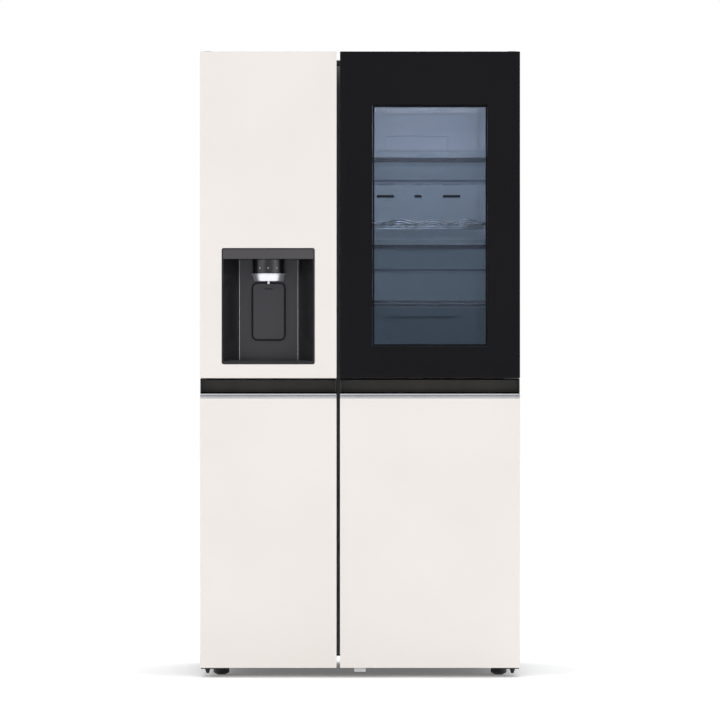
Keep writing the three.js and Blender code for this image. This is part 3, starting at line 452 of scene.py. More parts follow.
def rod(name, start, finish_point, radius, finish, body, edge_mm=0.4, sides=24):
    """A round bar between two points with rounded ends."""
    a, b = Vector(start), Vector(finish_point)
    turn = (b - a).to_track_quat("Z", "Y").to_euler()
    bpy.ops.object.select_all(action="DESELECT")
    bpy.ops.mesh.primitive_cylinder_add(
        vertices=sides, radius=radius, depth=(b - a).length, location=(a + b) / 2, rotation=turn
    )
    thing = bpy.context.object
    thing.name = name
    bpy.ops.object.transform_apply(location=True, rotation=True, scale=True)
    soften(thing, edge_mm, 2, SMOOTH)
    return dress(thing, finish, body)


def joined(name, things):
    """Makes one piece of several."""
    bpy.ops.object.select_all(action="DESELECT")
    for thing in things:
        thing.select_set(True)
    bpy.context.view_layer.objects.active = things[0]
    bpy.ops.object.join()
    things[0].name = name
    return things[0]


# %% [markdown]
# A round wire is a curve with a thickness. It is drawn through its points, closed at both ends and made a
# mesh. Of a screw only the head shows, so it is a short rod with a well rounded rim.

# %% Wires, screws and panels with a pressed middle
SAME_WAY = 0.99
HEAD_RISE = 0.45


def wire(name, points, radius, finish, body, sides=3):
    """A round wire through a list of points."""
    bpy.ops.object.select_all(action="DESELECT")
    bpy.ops.curve.primitive_nurbs_path_add()
    thing = bpy.context.object
    thing.name = name
    line = thing.data
    line.splines.clear()
    run = line.splines.new("POLY")
    run.points.add(len(points) - 1)
    for point, place in zip(run.points, points):
        point.co = (*place, 1)
    line.dimensions = "3D"
    line.bevel_depth = radius
    line.bevel_resolution = sides
    line.use_fill_caps = True
    bpy.ops.object.convert(target="MESH")
    thing = bpy.context.object
    bpy.ops.object.mode_set(mode="EDIT")
    bpy.ops.mesh.select_all(action="SELECT")
    bpy.ops.mesh.remove_doubles(threshold=MERGE)
    bpy.ops.mesh.normals_make_consistent(inside=False)
    bpy.ops.object.mode_set(mode="OBJECT")
    bpy.ops.object.shade_smooth_by_angle(angle=SMOOTH)
    return dress(thing, finish, body)


def facing(thing, direction):
    """Selects, in edit mode, the faces of an object that look one way."""
    bpy.ops.object.mode_set(mode="EDIT")
    bpy.ops.mesh.select_mode(type="FACE")
    bpy.ops.mesh.select_all(action="DESELECT")
    bpy.ops.object.mode_set(mode="OBJECT")
    way = Vector(direction)
    for face in thing.data.polygons:
        face.select = face.normal.dot(way) > SAME_WAY
    bpy.ops.object.mode_set(mode="EDIT")


def pressed(name, low, high, direction, rim_mm, depth_mm, finish, body, edge_mm=0.8):
    """A panel whose middle is pressed in (or out, with a negative depth) on one side."""
    thing = slab(name, low, high)
    facing(thing, direction)
    bpy.ops.mesh.inset(thickness=rim_mm * MM)
    bpy.ops.transform.translate(value=Vector(direction) * -depth_mm * MM)
    bpy.ops.object.mode_set(mode="OBJECT")
    soften(thing, edge_mm, 2)
    return dress(thing, finish, body)


def screws(name, places, direction, radius, finish, body):
    """A set of pan-head screws whose heads look one way."""
    made = []
    way = Vector(direction)
    for n, place in enumerate(places):
        head = Vector(place)
        rim = head + way * radius * HEAD_RISE
        made.append(rod(f"{name}_{n}", head, rim, radius, finish, body, 0.5, 16))
    return joined(name, made)


# %% [markdown]
# ## Cabinet
# The outer case is one folded steel sheet with a coat baked on. The rear panel and the machine cover are
# thinner sheet. Under them are the black dipped base frame, the feet and the rollers.

# %% Cabinet shell and running gear
rounded("outer_case", case_coat, 0.6)
rounded("rear_panel", zinc_sheet, 0.6)
rounded("machine_cover", zinc_sheet, 0.6)
rounded("base_frame", dark_steel, 0.8)
rounded("top_cover", black_pp, 3.0, 3)
for side in SIDES:
    rounded("hinge_cover_" + side, black_pp, 2.0, 3)
    rounded("top_hinge_" + side, hinge_steel, 0.8)
    rounded("bottom_hinge_" + side, dark_steel, 0.8)
    rounded("levelling_foot_" + side, black_pp, 1.2, 3)
    rounded("rear_roller_" + side, black_pp, 1.5, 3)
rounded("compressor", compressor_coat, 6.0, 4)
rounded("condenser", dark_steel, 0.6)
rounded("cord_gland", black_pp, 0.8)
rounded("water_inlet", glide_nylon, 0.8)
rounded("insulation_foam", foam_finish, 0.5, 1)
for side in ("freezer", "fridge"):
    rounded(side + "_liner", liner_abs, 1.2, 2)
rounded("fridge_duct_cover", liner_abs, 2.5, 3)

# %% [markdown]
# ## Doors
# The front panels are folded sheet with a small radius, so each shows a fine light line along its edge.

# %% Door skins, belts and strips
for door in DOORS:
    rounded(door + "_panel_lower", cream_coat, 2.0, 3)
    rounded(door + "_belt", belt_abs_painted_streaks, 0.8, 2)
    rounded(door + "_body", door_abs, 1.5, 2)
    rounded(door + "_gasket", seal_vinyl, 2.5, 3)
rounded("freezer_door_panel_upper", cream_coat, 1.4, 3)

# %% [markdown]
# The lip strip is an aluminium extrusion. Its upper front is one wide curve that runs light from the top
# down to dark, and its lower edge has a small round. An edge bevel with many steps makes the wide curve.

# %% Lip strips
LIP_ROUND = 9 * MM
for door in DOORS:
    strip = copy_of(door + "_lip")
    low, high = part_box(door + "_lip")
    bpy.ops.object.mode_set(mode="EDIT")
    bpy.ops.mesh.select_all(action="DESELECT")
    bpy.ops.object.mode_set(mode="OBJECT")
    for edge in strip.data.edges:
        ends = [strip.data.vertices[i].co for i in edge.vertices]
        edge.select = all(abs(e.y - low[1]) < MM and abs(e.z - high[2]) < MM for e in ends)
    bpy.ops.object.mode_set(mode="EDIT")
    bpy.ops.mesh.select_mode(type="EDGE")
    bpy.ops.mesh.bevel(offset=LIP_ROUND, segments=10, clamp_overlap=True)
    bpy.ops.object.mode_set(mode="OBJECT")
    soften(strip, 1.4, 3)
    stand_in(strip, door + "_lip", lip_aluminium)
    print(strip.name, "faces:", len(strip.data.polygons))

# %% [markdown]
# A black strip above and below each handle belt paints the shadow in the seam there, so the belt sits between
# dark lines.

# %% Painted shadow strips at the belt seams
SHADOW_STRIP_TALL = 2.8 * MM
SHADOW_STRIP_OUT = 0.9 * MM
SHADOW_STRIP_GAP = 0.1 * MM
# Each strip is a thin black block that paints the shadow line in a belt seam.
for door in DOORS:
    low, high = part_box(door + "_belt")
    lip_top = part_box(door + "_lip")[1][2]
    for word, z0, z1 in (
        ("low", lip_top + 0.2 * MM, lip_top + SHADOW_STRIP_TALL),
        ("high", high[2] - SHADOW_STRIP_TALL, high[2] + 0.3 * MM),
    ):
        block(
            f"{door}_belt_shadow_strip_{word}", (low[0], low[1] - SHADOW_STRIP_OUT, z0), (high[0], low[1] - SHADOW_STRIP_GAP, z1),
            painted_shade_black, door, 0.3, 1,
        )

# %% Ice maker, bins and baskets
rounded("ice_maker_box", liner_abs, 3.0, 3)
rounded("freezer_door_bin", milky_ps, 1.2, 2)
for n in (1, 2, 3):
    rounded(f"door_basket_{n}", clear_ps, 1.2, 2)
rounded("fridge_door_bin", clear_ps, 1.2, 2)

# %% Shelves and drawers
for n in (1, 2, 3, 4):
    rounded(f"fridge_shelf_{n}", shelf_glass, 0.8)
for n in (1, 2):
    rounded(f"freezer_shelf_{n}", shelf_glass, 0.8)
rounded("drawer_cover", shelf_glass, 0.8)
for word in ("upper", "lower"):
    rounded("crisper_" + word, clear_ps, 1.2, 2)
    rounded("freezer_drawer_" + word, milky_ps, 1.2, 2)

# %% [markdown]
# ## Dispenser
# The recess is a dark gloss moulding. A lighter smoked band closes its top, a graphite panel covers its back
# between two bright edge lines, and a slotted drip tray lies on its ledge.

# %% Dispenser mouldings
rounded("dispenser_housing", recess_abs, 1.2, 3)
rounded("dispenser_tap", tap_metal, 1.0, 3)
rounded("dispenser_tap_ring", satin_chrome, 0.8, 3)
rounded("dispenser_paddle", paddle_abs, 1.5, 3)

# %% Dispenser band, back panel and drip tray
house_low, house_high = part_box("dispenser_housing")
paddle_low, paddle_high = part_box("dispenser_paddle")
tap_low, tap_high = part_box("dispenser_tap")
ring_low, ring_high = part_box("dispenser_tap_ring")
centre_x = (paddle_low[0] + paddle_high[0]) / 2
recess_back = paddle_high[1] + 5 * MM
recess_top = tap_high[2] + FIT
recess_floor = house_low[2] + 9 * MM
PANEL_HALF = 84 * MM
GROOVE = 5 * MM
BAND_EDGE = 3.5 * MM
HOLE_DEEP = 20 * MM
HOLE_ROUND = 17 * MM
block(
    "dispenser_band", (house_low[0] + BAND_EDGE, house_low[1] - 0.5 * MM, recess_top + MM),
    (house_high[0] - BAND_EDGE, house_low[1] + 2 * MM, house_high[2] - BAND_EDGE),
    band_abs, "freezer_door", 0.5, 2,
)
panel_face = recess_back - 1.6 * MM
plate_low = (centre_x - PANEL_HALF, panel_face, recess_floor + 0.8 * MM)
plate_high = (centre_x + PANEL_HALF, recess_back - FIT, recess_top - 2 * MM)
back_plate = slab("dispenser_back_panel", plate_low, plate_high)
hole = slab(
    "paddle_hole", (paddle_low[0] - GROOVE, recess_back - HOLE_DEEP / 2, paddle_low[2] - GROOVE),
    (paddle_high[0] + GROOVE, recess_back + HOLE_DEEP / 2, paddle_high[2] + GROOVE),
)
bpy.ops.object.mode_set(mode="EDIT")
bpy.ops.mesh.select_all(action="DESELECT")
bpy.ops.object.mode_set(mode="OBJECT")
for edge in hole.data.edges:
    a, b = (hole.data.vertices[i].co for i in edge.vertices)
    edge.select = abs(a.y - b.y) > HOLE_DEEP / 2
bpy.ops.object.mode_set(mode="EDIT")
bpy.ops.mesh.select_mode(type="EDGE")
bpy.ops.mesh.bevel(offset=HOLE_ROUND, segments=6)
bpy.ops.object.mode_set(mode="OBJECT")
choose(back_plate)
bpy.ops.object.modifier_add(type="BOOLEAN")
back_plate.modifiers[-1].object = hole
back_plate.modifiers[-1].operation = "DIFFERENCE"
bpy.ops.object.modifier_apply(modifier=back_plate.modifiers[-1].name)
bpy.data.objects.remove(hole)
soften(back_plate, 0.4, 2)
dress(back_plate, graphite_abs_and_vent_shade, "freezer_door")

# %% Panel edges and drip tray
EDGE_RADIUS = 0.9 * MM
left_x, right_x = plate_low[0], plate_high[0]
foot_z, head_z = plate_low[2], plate_high[2]
for word, x0, z0, x1, z1 in (
    ("left", left_x, foot_z, left_x, head_z),
    ("right", right_x, foot_z, right_x, head_z),
    ("low", left_x, foot_z, right_x, foot_z),
):
    rod(
        "dispenser_edge_" + word, (x0, panel_face, z0), (x1, panel_face, z1),
        EDGE_RADIUS, trim_metal, "freezer_door", 0.2, 12,
    )
TRAY_BARS = 9
TRAY_PITCH = 7 * MM
TRAY_BAR = (4 * MM, 2 * MM)
RECESS_FLARE = 0.42
tray_front = house_low[1] + 6 * MM
tray_z = recess_floor + 0.3 * MM
tray_bars = []
for n in range(TRAY_BARS):
    y = tray_front + n * TRAY_PITCH
    half = PANEL_HALF + (recess_back - y) * RECESS_FLARE
    tray_bars.append(
        block(
            f"drip_bar_{n}", (centre_x - half, y, tray_z),
            (centre_x + half, y + TRAY_BAR[0], tray_z + TRAY_BAR[1]),
            tap_metal, "freezer_door", 0.5, 2,
        )
    )
joined("drip_grille", tray_bars)
print("dispenser opening in millimetres:", [round((house_high[i] - house_low[i]) / MM) for i in (0, 2)])

# %% Painted shade of the paddle slot
SLOT_HALF = 11.5 * MM
SLOT_DROP = 14.5 * MM
# A flat black mark on the paddle's face paints the shade of a slot.
block(
    "paddle_slot_shade", (centre_x - SLOT_HALF, paddle_low[1] - 0.3 * MM, paddle_high[2] - SLOT_DROP - MM),
    (centre_x + SLOT_HALF, paddle_low[1] + MM, paddle_high[2] - SLOT_DROP + MM),
    painted_shade_black, "paddle", 0.2, 1,
)

# %% [markdown]
# Three lit symbols on the front of the tap show water, ice and crushed ice: a drop, a cube and a glass.
# Each is a flat shape a millimetre thick that stands just off the tap.

# %% Tap symbols, flange and nozzle
tap_front = tap_low[1]
SYMBOL_DROP = 5 * MM
symbol_z = (tap_low[2] + tap_high[2]) / 2 - SYMBOL_DROP
SYMBOL_STEP = 24 * MM
SYMBOL = 2.6 * MM
FLANGE = 1.8 * MM
FLANGE_DROP = 1.6 * MM
tap_radius = (tap_high[0] - tap_low[0]) / 2


def flat_shape(name, kind, across, z, size, tall):
    """A small raised symbol on the tap: a thin prism with few or many sides, turned to the round wall."""
    turn = math.asin(across / tap_radius)
    reach = tap_radius + 0.2 * MM
    bpy.ops.object.select_all(action="DESELECT")
    bpy.ops.mesh.primitive_cylinder_add(
        vertices=kind, radius=size, depth=MM,
        location=(centre_x + reach * math.sin(turn), tap_front + tap_radius - reach * math.cos(turn), z),
        rotation=(math.radians(90), 0, turn),
    )
    thing = bpy.context.object
    thing.name = name
    thing.scale = (1, tall, 1)
    bpy.ops.object.transform_apply(location=True, rotation=True, scale=True)
    soften(thing, 0.15, 1)
    return dress(thing, icon_light, "freezer_door")


flat_shape("symbol_drop", 16, -SYMBOL_STEP, symbol_z, SYMBOL, 1.35)
flat_shape("symbol_cube", 4, 0, symbol_z, SYMBOL * 1.3, 1.0)
flat_shape("symbol_glass", 3, SYMBOL_STEP, symbol_z, SYMBOL * 1.4, 1.2)
bpy.ops.object.select_all(action="DESELECT")
radius = (ring_high[0] - ring_low[0]) / 2
bpy.ops.mesh.primitive_torus_add(
    major_radius=radius + FIT, minor_radius=FLANGE, major_segments=64, minor_segments=10,
    location=(centre_x, ring_low[1] + radius, ring_high[2] - FLANGE_DROP),
)
flange = bpy.context.object
flange.name = "tap_flange"
bpy.ops.object.transform_apply(location=True, rotation=True, scale=True)
bpy.ops.object.mode_set(mode="EDIT")
bpy.ops.mesh.select_all(action="SELECT")
bpy.ops.mesh.bisect(
    plane_co=(0, recess_back - MM, 0), plane_no=(0, 1, 0), clear_outer=True, use_fill=True
)
bpy.ops.object.mode_set(mode="OBJECT")
bpy.ops.object.shade_smooth_by_angle(angle=SMOOTH)
dress(flange, satin_chrome, "freezer_door")
print("symbols at height:", round(symbol_z / MM))

# %% [markdown]
# ## Glazed door
# The front is one sheet of tempered glass. A black ceramic print covers its border from behind, and the
# middle is left clear but tinted, so the lit shelves show through.

# %% Printed glass
pane_low, pane_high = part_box("glass_door_pane")
WINDOW_SIDE = 92 * MM
WINDOW_BOTTOM = 90.5 * MM
WINDOW_TOP = 152 * MM
win_low = (pane_low[0] + WINDOW_SIDE, pane_low[2] + WINDOW_BOTTOM)
win_high = (pane_high[0] - WINDOW_SIDE, pane_high[2] - WINDOW_TOP)
print("window in millimetres:", [round((b - a) / MM) for a, b in zip(win_low, win_high)])


def printed_glass():
    """Black printed glass with a clear window, told apart by place."""
    made, tree = blank("ceramic_printed_glass")
    place = put(tree, "TexCoord").outputs["Object"]
    axes = put(tree, "SeparateXYZ", {0: place})
    mask = None
    for axis, low, high in ((0, win_low[0], win_high[0]), (2, win_low[1], win_high[1])):
        above = put(tree, "Math", {0: axes.outputs[axis], 1: low}, operation="GREATER_THAN")
        below = put(tree, "Math", {0: axes.outputs[axis], 1: high}, operation="LESS_THAN")
        inside = put(tree, "Math", {0: above.outputs[0], 1: below.outputs[0]}, operation="MULTIPLY")
        if mask:
            mask = put(tree, "Math", {0: mask.outputs[0], 1: inside.outputs[0]}, operation="MULTIPLY")
        else:
            mask = inside
    cloud = put(tree, "TexNoise", {"Vector": place, "Scale": 2.0, "Detail": 1.0})
    ink = put(
        tree,
        "Mix",
        {"Factor": cloud.outputs[0], 6: linear("#121214"), 7: linear("#17171a")},
        data_type="RGBA",
    )
    border = put(tree, "BsdfDiffuse", {"Color": ink.outputs[2]})
    clear = put(tree, "BsdfTransparent", {"Color": linear("#c6c8cf")})
    film = put(tree, "MixShader", {0: mask.outputs[0], 1: border.outputs[0], 2: clear.outputs[0]})
    mirror = put(tree, "BsdfGlossy", {"Roughness": 0.03})
    edge = outside(tree, put(tree, "Fresnel", {"IOR": 1.33}).outputs[0])
    whole = put(tree, "MixShader", {0: edge, 1: film.outputs[0], 2: mirror.outputs[0]})
    end(tree, whole.outputs[0])
    return made


black_glass = printed_glass()
rounded("glass_door_pane", black_glass, 1.2, 3)
rounded("glass_door_frame", black_pp, 1.0, 2)
rounded("glass_door_latch", black_pp, 0.8, 3)
rounded("glass_door_hinge_lower", hinge_steel, 0.5, 2)

# %% [markdown]
# A second pane closes the back of the window against the cold, with a black moulded spacer between the two
# panes.
# A soft gasket runs round the back of the glazed door and closes on the frame that holds the baskets.

# %% Window spacer, inner pane and gasket
def ring_of_bars(name, x0, x1, z0, z1, bar, y0, y1, finish, body, edge_mm):
    """Four bars round an opening, joined into one frame."""
    sides = [
        block(name + "_low", (x0, y0, z0), (x1, y1, z0 + bar), finish, body, edge_mm, 2),
        block(name + "_high", (x0, y0, z1 - bar), (x1, y1, z1), finish, body, edge_mm, 2),
        block(name + "_left", (x0, y0, z0 + bar), (x0 + bar, y1, z1 - bar), finish, body, edge_mm, 2),
        block(name + "_right", (x1 - bar, y0, z0 + bar), (x1, y1, z1 - bar), finish, body, edge_mm, 2),
    ]
    return joined(name, sides)


frame_low, frame_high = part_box("glass_door_frame")
back = frame_high[1]
SPACER_BAR = 5 * MM
ring_of_bars(
    "window_spacer", win_low[0] + MM, win_high[0] - MM, win_low[1] + MM, win_high[1] - MM, SPACER_BAR,
    pane_high[1] + MM, back - 6 * MM, black_pp, "glass_door", 0.6,
)
block(
    "window_inner_pane", (win_low[0] + MM, back - 5 * MM, win_low[1] + MM),
    (win_high[0] - MM, back - 2 * MM, win_high[1] - MM),
    clear_pane, "glass_door", 0.5, 2,
)
GASKET_IN = 22 * MM
GASKET_DOWN = 52 * MM
GASKET_BAR = 9 * MM
GASKET_OUT = 6.5 * MM
ring_of_bars(
    "glass_door_gasket", frame_low[0] + GASKET_IN, frame_high[0] - GASKET_IN, frame_low[2] + GASKET_IN,
    frame_high[2] - GASKET_DOWN, GASKET_BAR, back + FIT, back + GASKET_OUT,
    seal_vinyl, "glass_door", 2.5,
)
GLIDE_HALF = 17 * MM
GLIDE_Y = (-0.352, -0.30)
GLIDE_FOOT = 16 * MM
door_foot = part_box("fridge_door_body")[0][2]
block(
    "door_rest_glide", (-GLIDE_HALF, GLIDE_Y[0], GLIDE_FOOT), (GLIDE_HALF, GLIDE_Y[1], door_foot - FIT),
    glide_nylon, "fridge_door", 3.0, 3,
)

# %% [markdown]
# ## Back and top
# The rear sheet is stiffened by long pressed ribs and held by pan-head screws, as are the machine cover and
# the hinge covers.

# %% Ribs and screws
rear_low, rear_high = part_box("rear_panel")
cover_low, cover_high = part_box("machine_cover")
RIB_PLACES = (-0.33, -0.11, 0.11, 0.33)
RIB_HALF = 28 * MM
RIB_OUT = 1.2 * MM
RIB_END = 80 * MM
for n, x in enumerate(RIB_PLACES):
    block(
        f"rear_rib_{n + 1}", (x - RIB_HALF, rear_high[1] - 0.2 * MM, rear_low[2] + RIB_END),
        (x + RIB_HALF, rear_high[1] + RIB_OUT, rear_high[2] - RIB_END),
        zinc_sheet, "cabinet", 0.9, 3,
    )
EDGE_IN = 12 * MM
ROWS = 6
TOP_SCREWS = (-0.22, 0, 0.22)
HEAD = 4 * MM
row_step = (rear_high[2] - rear_low[2] - 2 * EDGE_IN) / (ROWS - 1)
rows = [rear_low[2] + EDGE_IN + n * row_step for n in range(ROWS)]
places = [(x, rear_high[1], z) for z in rows for x in (rear_low[0] + EDGE_IN, rear_high[0] - EDGE_IN)]
places += [(x, rear_high[1], rear_high[2] - EDGE_IN) for x in TOP_SCREWS]
screws("rear_screws", places, (0, 1, 0), HEAD, hinge_steel, "cabinet")
print("rear screws:", len(places))
places = [(x, cover_high[1], z) for x in (cover_low[0] + EDGE_IN, 0, cover_high[0] - EDGE_IN)
          for z in (cover_low[2] + EDGE_IN, cover_high[2] - EDGE_IN)]
screws("machine_cover_screws", places, (0, 1, 0), HEAD, hinge_steel, "cabinet")
HEAD_SUNK = 1.4 * MM
HINGE_SCREWS = (30 * MM, 70 * MM)
places = []
for side in SIDES:
    low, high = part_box("hinge_cover_" + side)
    x = (low[0] + high[0]) / 2
    places += [(x, high[1] - step, high[2] - HEAD_SUNK) for step in HINGE_SCREWS]
screws("hinge_cover_screws", places, (0, 0, 1), HEAD, dark_steel, "cabinet")

# %% [markdown]
# ## Fridge compartment
# Each glass shelf sits in a moulded frame with a bright trim along its front, on ribs that stand out of the
# side walls. The ribs and trims follow the shelves, so they are made in one loop.

# %% Compartment places
WALL = 3 * MM


def inner(node):
    """The inside of a liner: its lowest and highest corners."""
    low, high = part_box(node)
    return (low[0] + WALL, low[1], low[2] + WALL), (high[0] - WALL, high[1] - WALL, high[2] - WALL)


fridge_low, fridge_high = inner("fridge_liner")
freezer_low, freezer_high = inner("freezer_liner")
print("fridge inside:", [round((b - a) / MM) for a, b in zip(fridge_low, fridge_high)])

# %% Shelf trims and wall ribs
TRIM = 2.4 * MM
TRIM_TALL = 13 * MM
RIB = 5 * MM
RIB_FRONT = 12 * MM
RIB_BACK = 10 * MM
RIB_DOWN = 6 * MM
RIB_UP = 5 * MM
glazed = [f"fridge_shelf_{n}" for n in (1, 2, 3, 4)]
glazed += ["drawer_cover", "freezer_shelf_1", "freezer_shelf_2"]
for node in glazed:
    low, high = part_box(node)
    rim = low[2]
    block(
        node + "_trim", (low[0], low[1] - TRIM - FIT, rim - MM),
        (high[0], low[1] - FIT, rim + TRIM_TALL + MM),
        trim_metal, "cabinet", 0.7, 2,
    )
    for side, x0 in (("left", low[0]), ("right", high[0] - RIB)):
        block(
            f"{node}_rib_{side}", (x0, low[1] + RIB_FRONT, rim - RIB_DOWN),
            (x0 + RIB, high[1] - RIB_BACK, rim + RIB_UP),
            liner_abs, "cabinet", 1.5, 2,
        )

# %% [markdown]
# The back wall of the compartment is the duct cover. It carries a plain raised panel with a pressed middle,
# and three short outlets for the cold air, each a shallow pressed piece in dark graphite that paints the
# shade inside the opening.

# %% Duct cover details
duct_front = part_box("fridge_duct_cover")[0][1]
PANEL_X = (0.075, 0.262)
PANEL_Z = (1.486, 1.576)
OUTLETS = ((0.050, 0.102), (0.163, 0.184), (0.248, 0.300))
OUTLET_Z = (1.391, 1.399)
pressed(
    "duct_panel", (PANEL_X[0], duct_front - 3 * MM, PANEL_Z[0]), (PANEL_X[1], duct_front - FIT, PANEL_Z[1]),
    (0, -1, 0), 3, 2.4, liner_abs, "cabinet", 0.5,
)
# Each outlet is a dark pressed piece, not an opening: its graphite paints the shade inside the slot.
for n, (x0, x1) in enumerate(OUTLETS):
    pressed(
        f"duct_outlet_{n + 1}", (x0, duct_front - 2 * MM, OUTLET_Z[0]), (x1, duct_front - FIT, OUTLET_Z[1]),
        (0, -1, 0), 1.2, 1.2, graphite_abs_and_vent_shade, "cabinet", 0.4,
    )
print("outlets:", len(OUTLETS))

# %% [markdown]
# The bottle rack is bent chrome wire. The front and back wires run in waves, so that each bottle lies in a
# dip, and straight wires join them underneath. The wave is one cosine with a dip every bottle's width.

# %% Bottle rack
rack_low, rack_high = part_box("bottle_rack")
WIRE = 2.6 * MM
BOTTLE_PITCH = 98 * MM
WAVE = 9 * MM
RACK_END = 4 * MM
STEPS = 96
rack_z = (rack_low[2] + rack_high[2]) / 2
span = (rack_low[0] + RACK_END, rack_high[0] - RACK_END)
rack_front, rack_back = rack_low[1] + RACK_END, rack_high[1] - RACK_END


def rack_wave(y):
    """Points of one waved wire at a depth."""
    points = []
    for i in range(STEPS + 1):
        x = span[0] + (span[1] - span[0]) * i / STEPS
        lift = WAVE * (1 - math.cos(2 * math.pi * (x - span[0]) / BOTTLE_PITCH)) / 2
        points.append((x, y, rack_z + WIRE + lift))
    return points


wires = []
for word, y in (("front", rack_front), ("middle", (rack_front + rack_back) / 2), ("back", rack_back)):
    wires.append(wire(f"rack_{word}_wave", rack_wave(y), WIRE, chrome, "cabinet"))
    straight = [(span[0], y, rack_z - WIRE), (span[1], y, rack_z - WIRE)]
    wires.append(wire(f"rack_{word}_rail", straight, WIRE, chrome, "cabinet"))
count = round((span[1] - span[0]) / BOTTLE_PITCH)
for n in range(count + 1):
    x = min(span[0] + n * BOTTLE_PITCH, span[1])
    ends = [(x, rack_front, rack_z), (x, rack_back, rack_z)]
    wires.append(wire(f"rack_tie_{n}", ends, WIRE, chrome, "cabinet"))
rack = joined("bottle_rack_wires", wires)
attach(rack, "cabinet")
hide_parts("bottle_rack")
print("rack wires:", len(wires))

# %% [markdown]
# Each door basket is a clear moulding with a bright rail round its top edge and a frosted band at its foot,
# with a bright line above and below it.

# %% Basket rails
RAIL = 2.4 * MM
BAND = 1.4 * MM
RAIL_END = 2 * MM
for n in (1, 2, 3):
    low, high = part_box(f"door_basket_{n}")
    face = low[1] - FIT
    x0, x1 = low[0] + RAIL_END, high[0] - RAIL_END
    for word, z, size in (
        ("rail_top", high[2] - 2 * MM, 2 * MM),
        ("rail_second", high[2] - 14 * MM, 1.2 * MM),
        ("foot_line", low[2] + 13 * MM, 2.2 * MM),
        ("foot_edge", low[2] + 2 * MM, 1.4 * MM),
    ):
        block(
            f"basket_{n}_{word}", (x0, face - RAIL, z - size), (x1, face, z + size),
            rail_ps, "fridge_door", 0.8, 2,
        )
    block(
        f"basket_{n}_foot_band", (x0, face - BAND, low[2] + 4 * MM), (x1, face, low[2] + 12 * MM),
        frosted_ps, "fridge_door", 0.4, 2,
    )

# %% [markdown]
# Every drawer and bin has a thick rolled lip along its front, and the drawers have a grip under it.

# %% Drawer and bin lips
LIP_OUT = 9 * MM
LIP_TALL = 8 * MM
GRIP_HALF = 70 * MM
GRIP_Z = (46 * MM, 16 * MM)
for node in ("crisper_upper", "crisper_lower", "freezer_drawer_upper", "freezer_drawer_lower"):
    low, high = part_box(node)
    block(
        node + "_lip", (low[0], low[1] - LIP_OUT, high[2] - LIP_TALL), (high[0], low[1] - FIT, high[2]),
        frosted_ps, BODY_OF[node], 2.4, 3,
    )
    middle = (low[0] + high[0]) / 2
    pressed(
        node + "_grip", (middle - GRIP_HALF, low[1] - 5 * MM, high[2] - GRIP_Z[0]),
        (middle + GRIP_HALF, low[1] - FIT, high[2] - GRIP_Z[1]),
        (0, -1, 0), 4, 3, frosted_ps, BODY_OF[node], 1.0,
    )
for node in ("fridge_door_bin", "freezer_door_bin"):
    low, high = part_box(node)
    block(
        node + "_lip", (low[0], high[1] + FIT, high[2] - LIP_TALL), (high[0], high[1] + 3 * MM, high[2]),
        frosted_ps, BODY_OF[node], 1.4, 3,
    )

# %% [markdown]
# The freezer has a duct cover of its own on its back wall, with outlets whose dark graphite paints the shade
# in their openings, and the ice maker has a lid with a pressed middle and a finger grip that faces the
# shelves when the door is shut.

# %% Freezer duct cover and ice maker lid
DUCT_THICK = 9 * MM
DUCT_IN = 50 * MM
DUCT_Z = (0.62, 1.62)
SLIT_IN = 110 * MM
SLIT_TALL = 9 * MM
SLIT_PLACES = (0.72, 1.0, 1.3, 1.52)
duct_back = freezer_high[1] - FIT
pressed(
    "freezer_duct_cover", (freezer_low[0] + DUCT_IN, duct_back - DUCT_THICK, DUCT_Z[0]),
    (freezer_high[0] - DUCT_IN, duct_back, DUCT_Z[1]),
    (0, -1, 0), 18, 3, liner_abs, "cabinet", 1.5,
)
# Each slit is a dark pressed piece, not an opening: its graphite paints the shade inside the slit.
for n, z in enumerate(SLIT_PLACES):
    pressed(
        f"freezer_outlet_{n + 1}", (freezer_low[0] + SLIT_IN, duct_back - DUCT_THICK + MM, z),
        (freezer_high[0] - SLIT_IN, duct_back - 5 * MM, z + SLIT_TALL),
        (0, -1, 0), 1.5, 1.5, graphite_abs_and_vent_shade, "cabinet", 0.4,
    )
LID_IN = 12 * MM
LID_END = 14 * MM
LID_OUT = 5 * MM
ICE_GRIP_HALF = 50 * MM
ICE_GRIP_Z = (50 * MM, 75 * MM)
ice_low, ice_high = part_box("ice_maker_box")
pressed(
    "ice_maker_lid", (ice_low[0] + LID_IN, ice_high[1] + FIT, ice_low[2] + LID_END),
    (ice_high[0] - LID_IN, ice_high[1] + LID_OUT, ice_high[2] - LID_END),
    (0, 1, 0), 14, 2, liner_abs, "freezer_door", 1.5,
)
ice_mid = (ice_low[0] + ice_high[0]) / 2
pressed(
    "ice_maker_grip", (ice_mid - ICE_GRIP_HALF, ice_high[1] + 2.4 * MM, ice_low[2] + ICE_GRIP_Z[0]),
    (ice_mid + ICE_GRIP_HALF, ice_high[1] + 6 * MM, ice_low[2] + ICE_GRIP_Z[1]),
    (0, 1, 0), 3, 2.4, graphite_abs_and_vent_shade, "freezer_door", 0.8,
)
print("ice maker box in millimetres:", [round((b - a) / MM) for a, b in zip(ice_low, ice_high)])

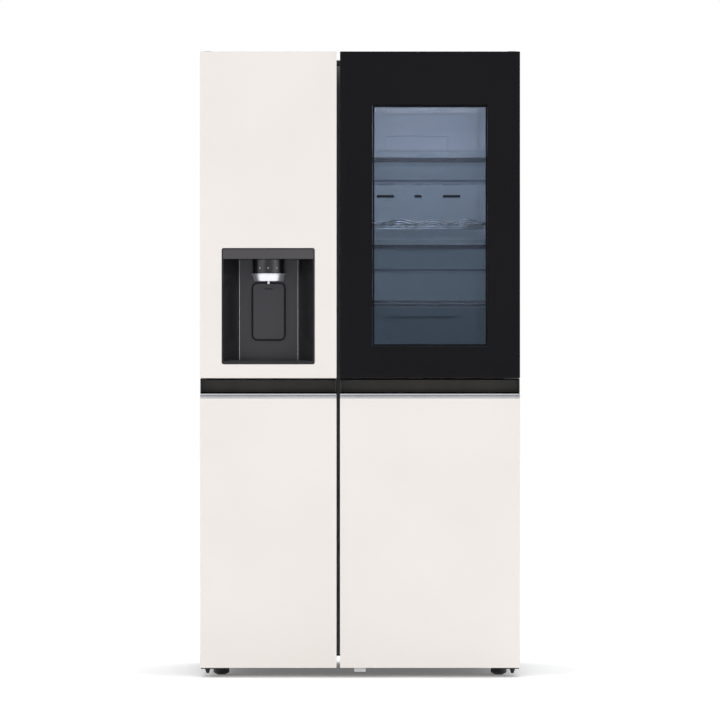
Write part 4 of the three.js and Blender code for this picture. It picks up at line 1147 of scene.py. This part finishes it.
# %% [markdown]
# ## Lamps inside
# A bar of opal acrylic in the roof and one on each side wall light the shelves with a cool white.

# %% Lamp bars
COOL_WHITE = (0.82, 0.89, 1.0)
SIDE_WHITE = (1.0, 0.97, 0.95)
FRONT_WHITE = (1.0, 0.98, 0.98)
ROOF_HALF = 100 * MM
ROOF_Y = (-0.12, 0.04)
ROOF_TALL = 9 * MM
BAR_WIDE = 6 * MM
BAR_Y = (-0.215, -0.195)
BAR_Z = (0.90, 1.45)
for word, low, high in (("fridge", fridge_low, fridge_high), ("freezer", freezer_low, freezer_high)):
    mid_x = (low[0] + high[0]) / 2
    roof = high[2] - FIT
    block(
        word + "_roof_lamp", (mid_x - ROOF_HALF, ROOF_Y[0], roof - ROOF_TALL),
        (mid_x + ROOF_HALF, ROOF_Y[1], roof),
        lamp_acrylic, "cabinet", 3.0, 3,
    )
    for side, x0 in (("left", low[0] + FIT), ("right", high[0] - FIT - BAR_WIDE)):
        block(
            f"{word}_lamp_{side}", (x0, BAR_Y[0], BAR_Z[0]), (x0 + BAR_WIDE, BAR_Y[1], BAR_Z[1]),
            side_acrylic, "cabinet", 2.0, 3,
        )

# %% Light from the lamp bars
ROOF_LIGHT = 1.5
SIDE_LIGHT = 0.16
FRONT_LIGHT = 0.3
UNDER_ROOF = 15 * MM
OFF_WALL = 12 * MM
mid_x = (fridge_low[0] + fridge_high[0]) / 2
softbox(
    "fridge_roof_light", (mid_x, -0.05, fridge_high[2] - UNDER_ROOF), (mid_x, 0.05, 0.9),
    (0.25, 0.16), ROOF_LIGHT, COOL_WHITE,
)
for side, x, way in (("left", fridge_low[0] + OFF_WALL, 1), ("right", fridge_high[0] - OFF_WALL, -1)):
    softbox(
        "fridge_side_light_" + side, (x, -0.19, 1.12), (x + way * 0.2, 0.15, 1.05),
        (0.03, 0.6), SIDE_LIGHT, SIDE_WHITE,
    )
softbox(
    "fridge_front_light", (mid_x, -0.345, 1.62), (mid_x, 0.1, 1.0), (0.3, 0.02), FRONT_LIGHT, FRONT_WHITE
)
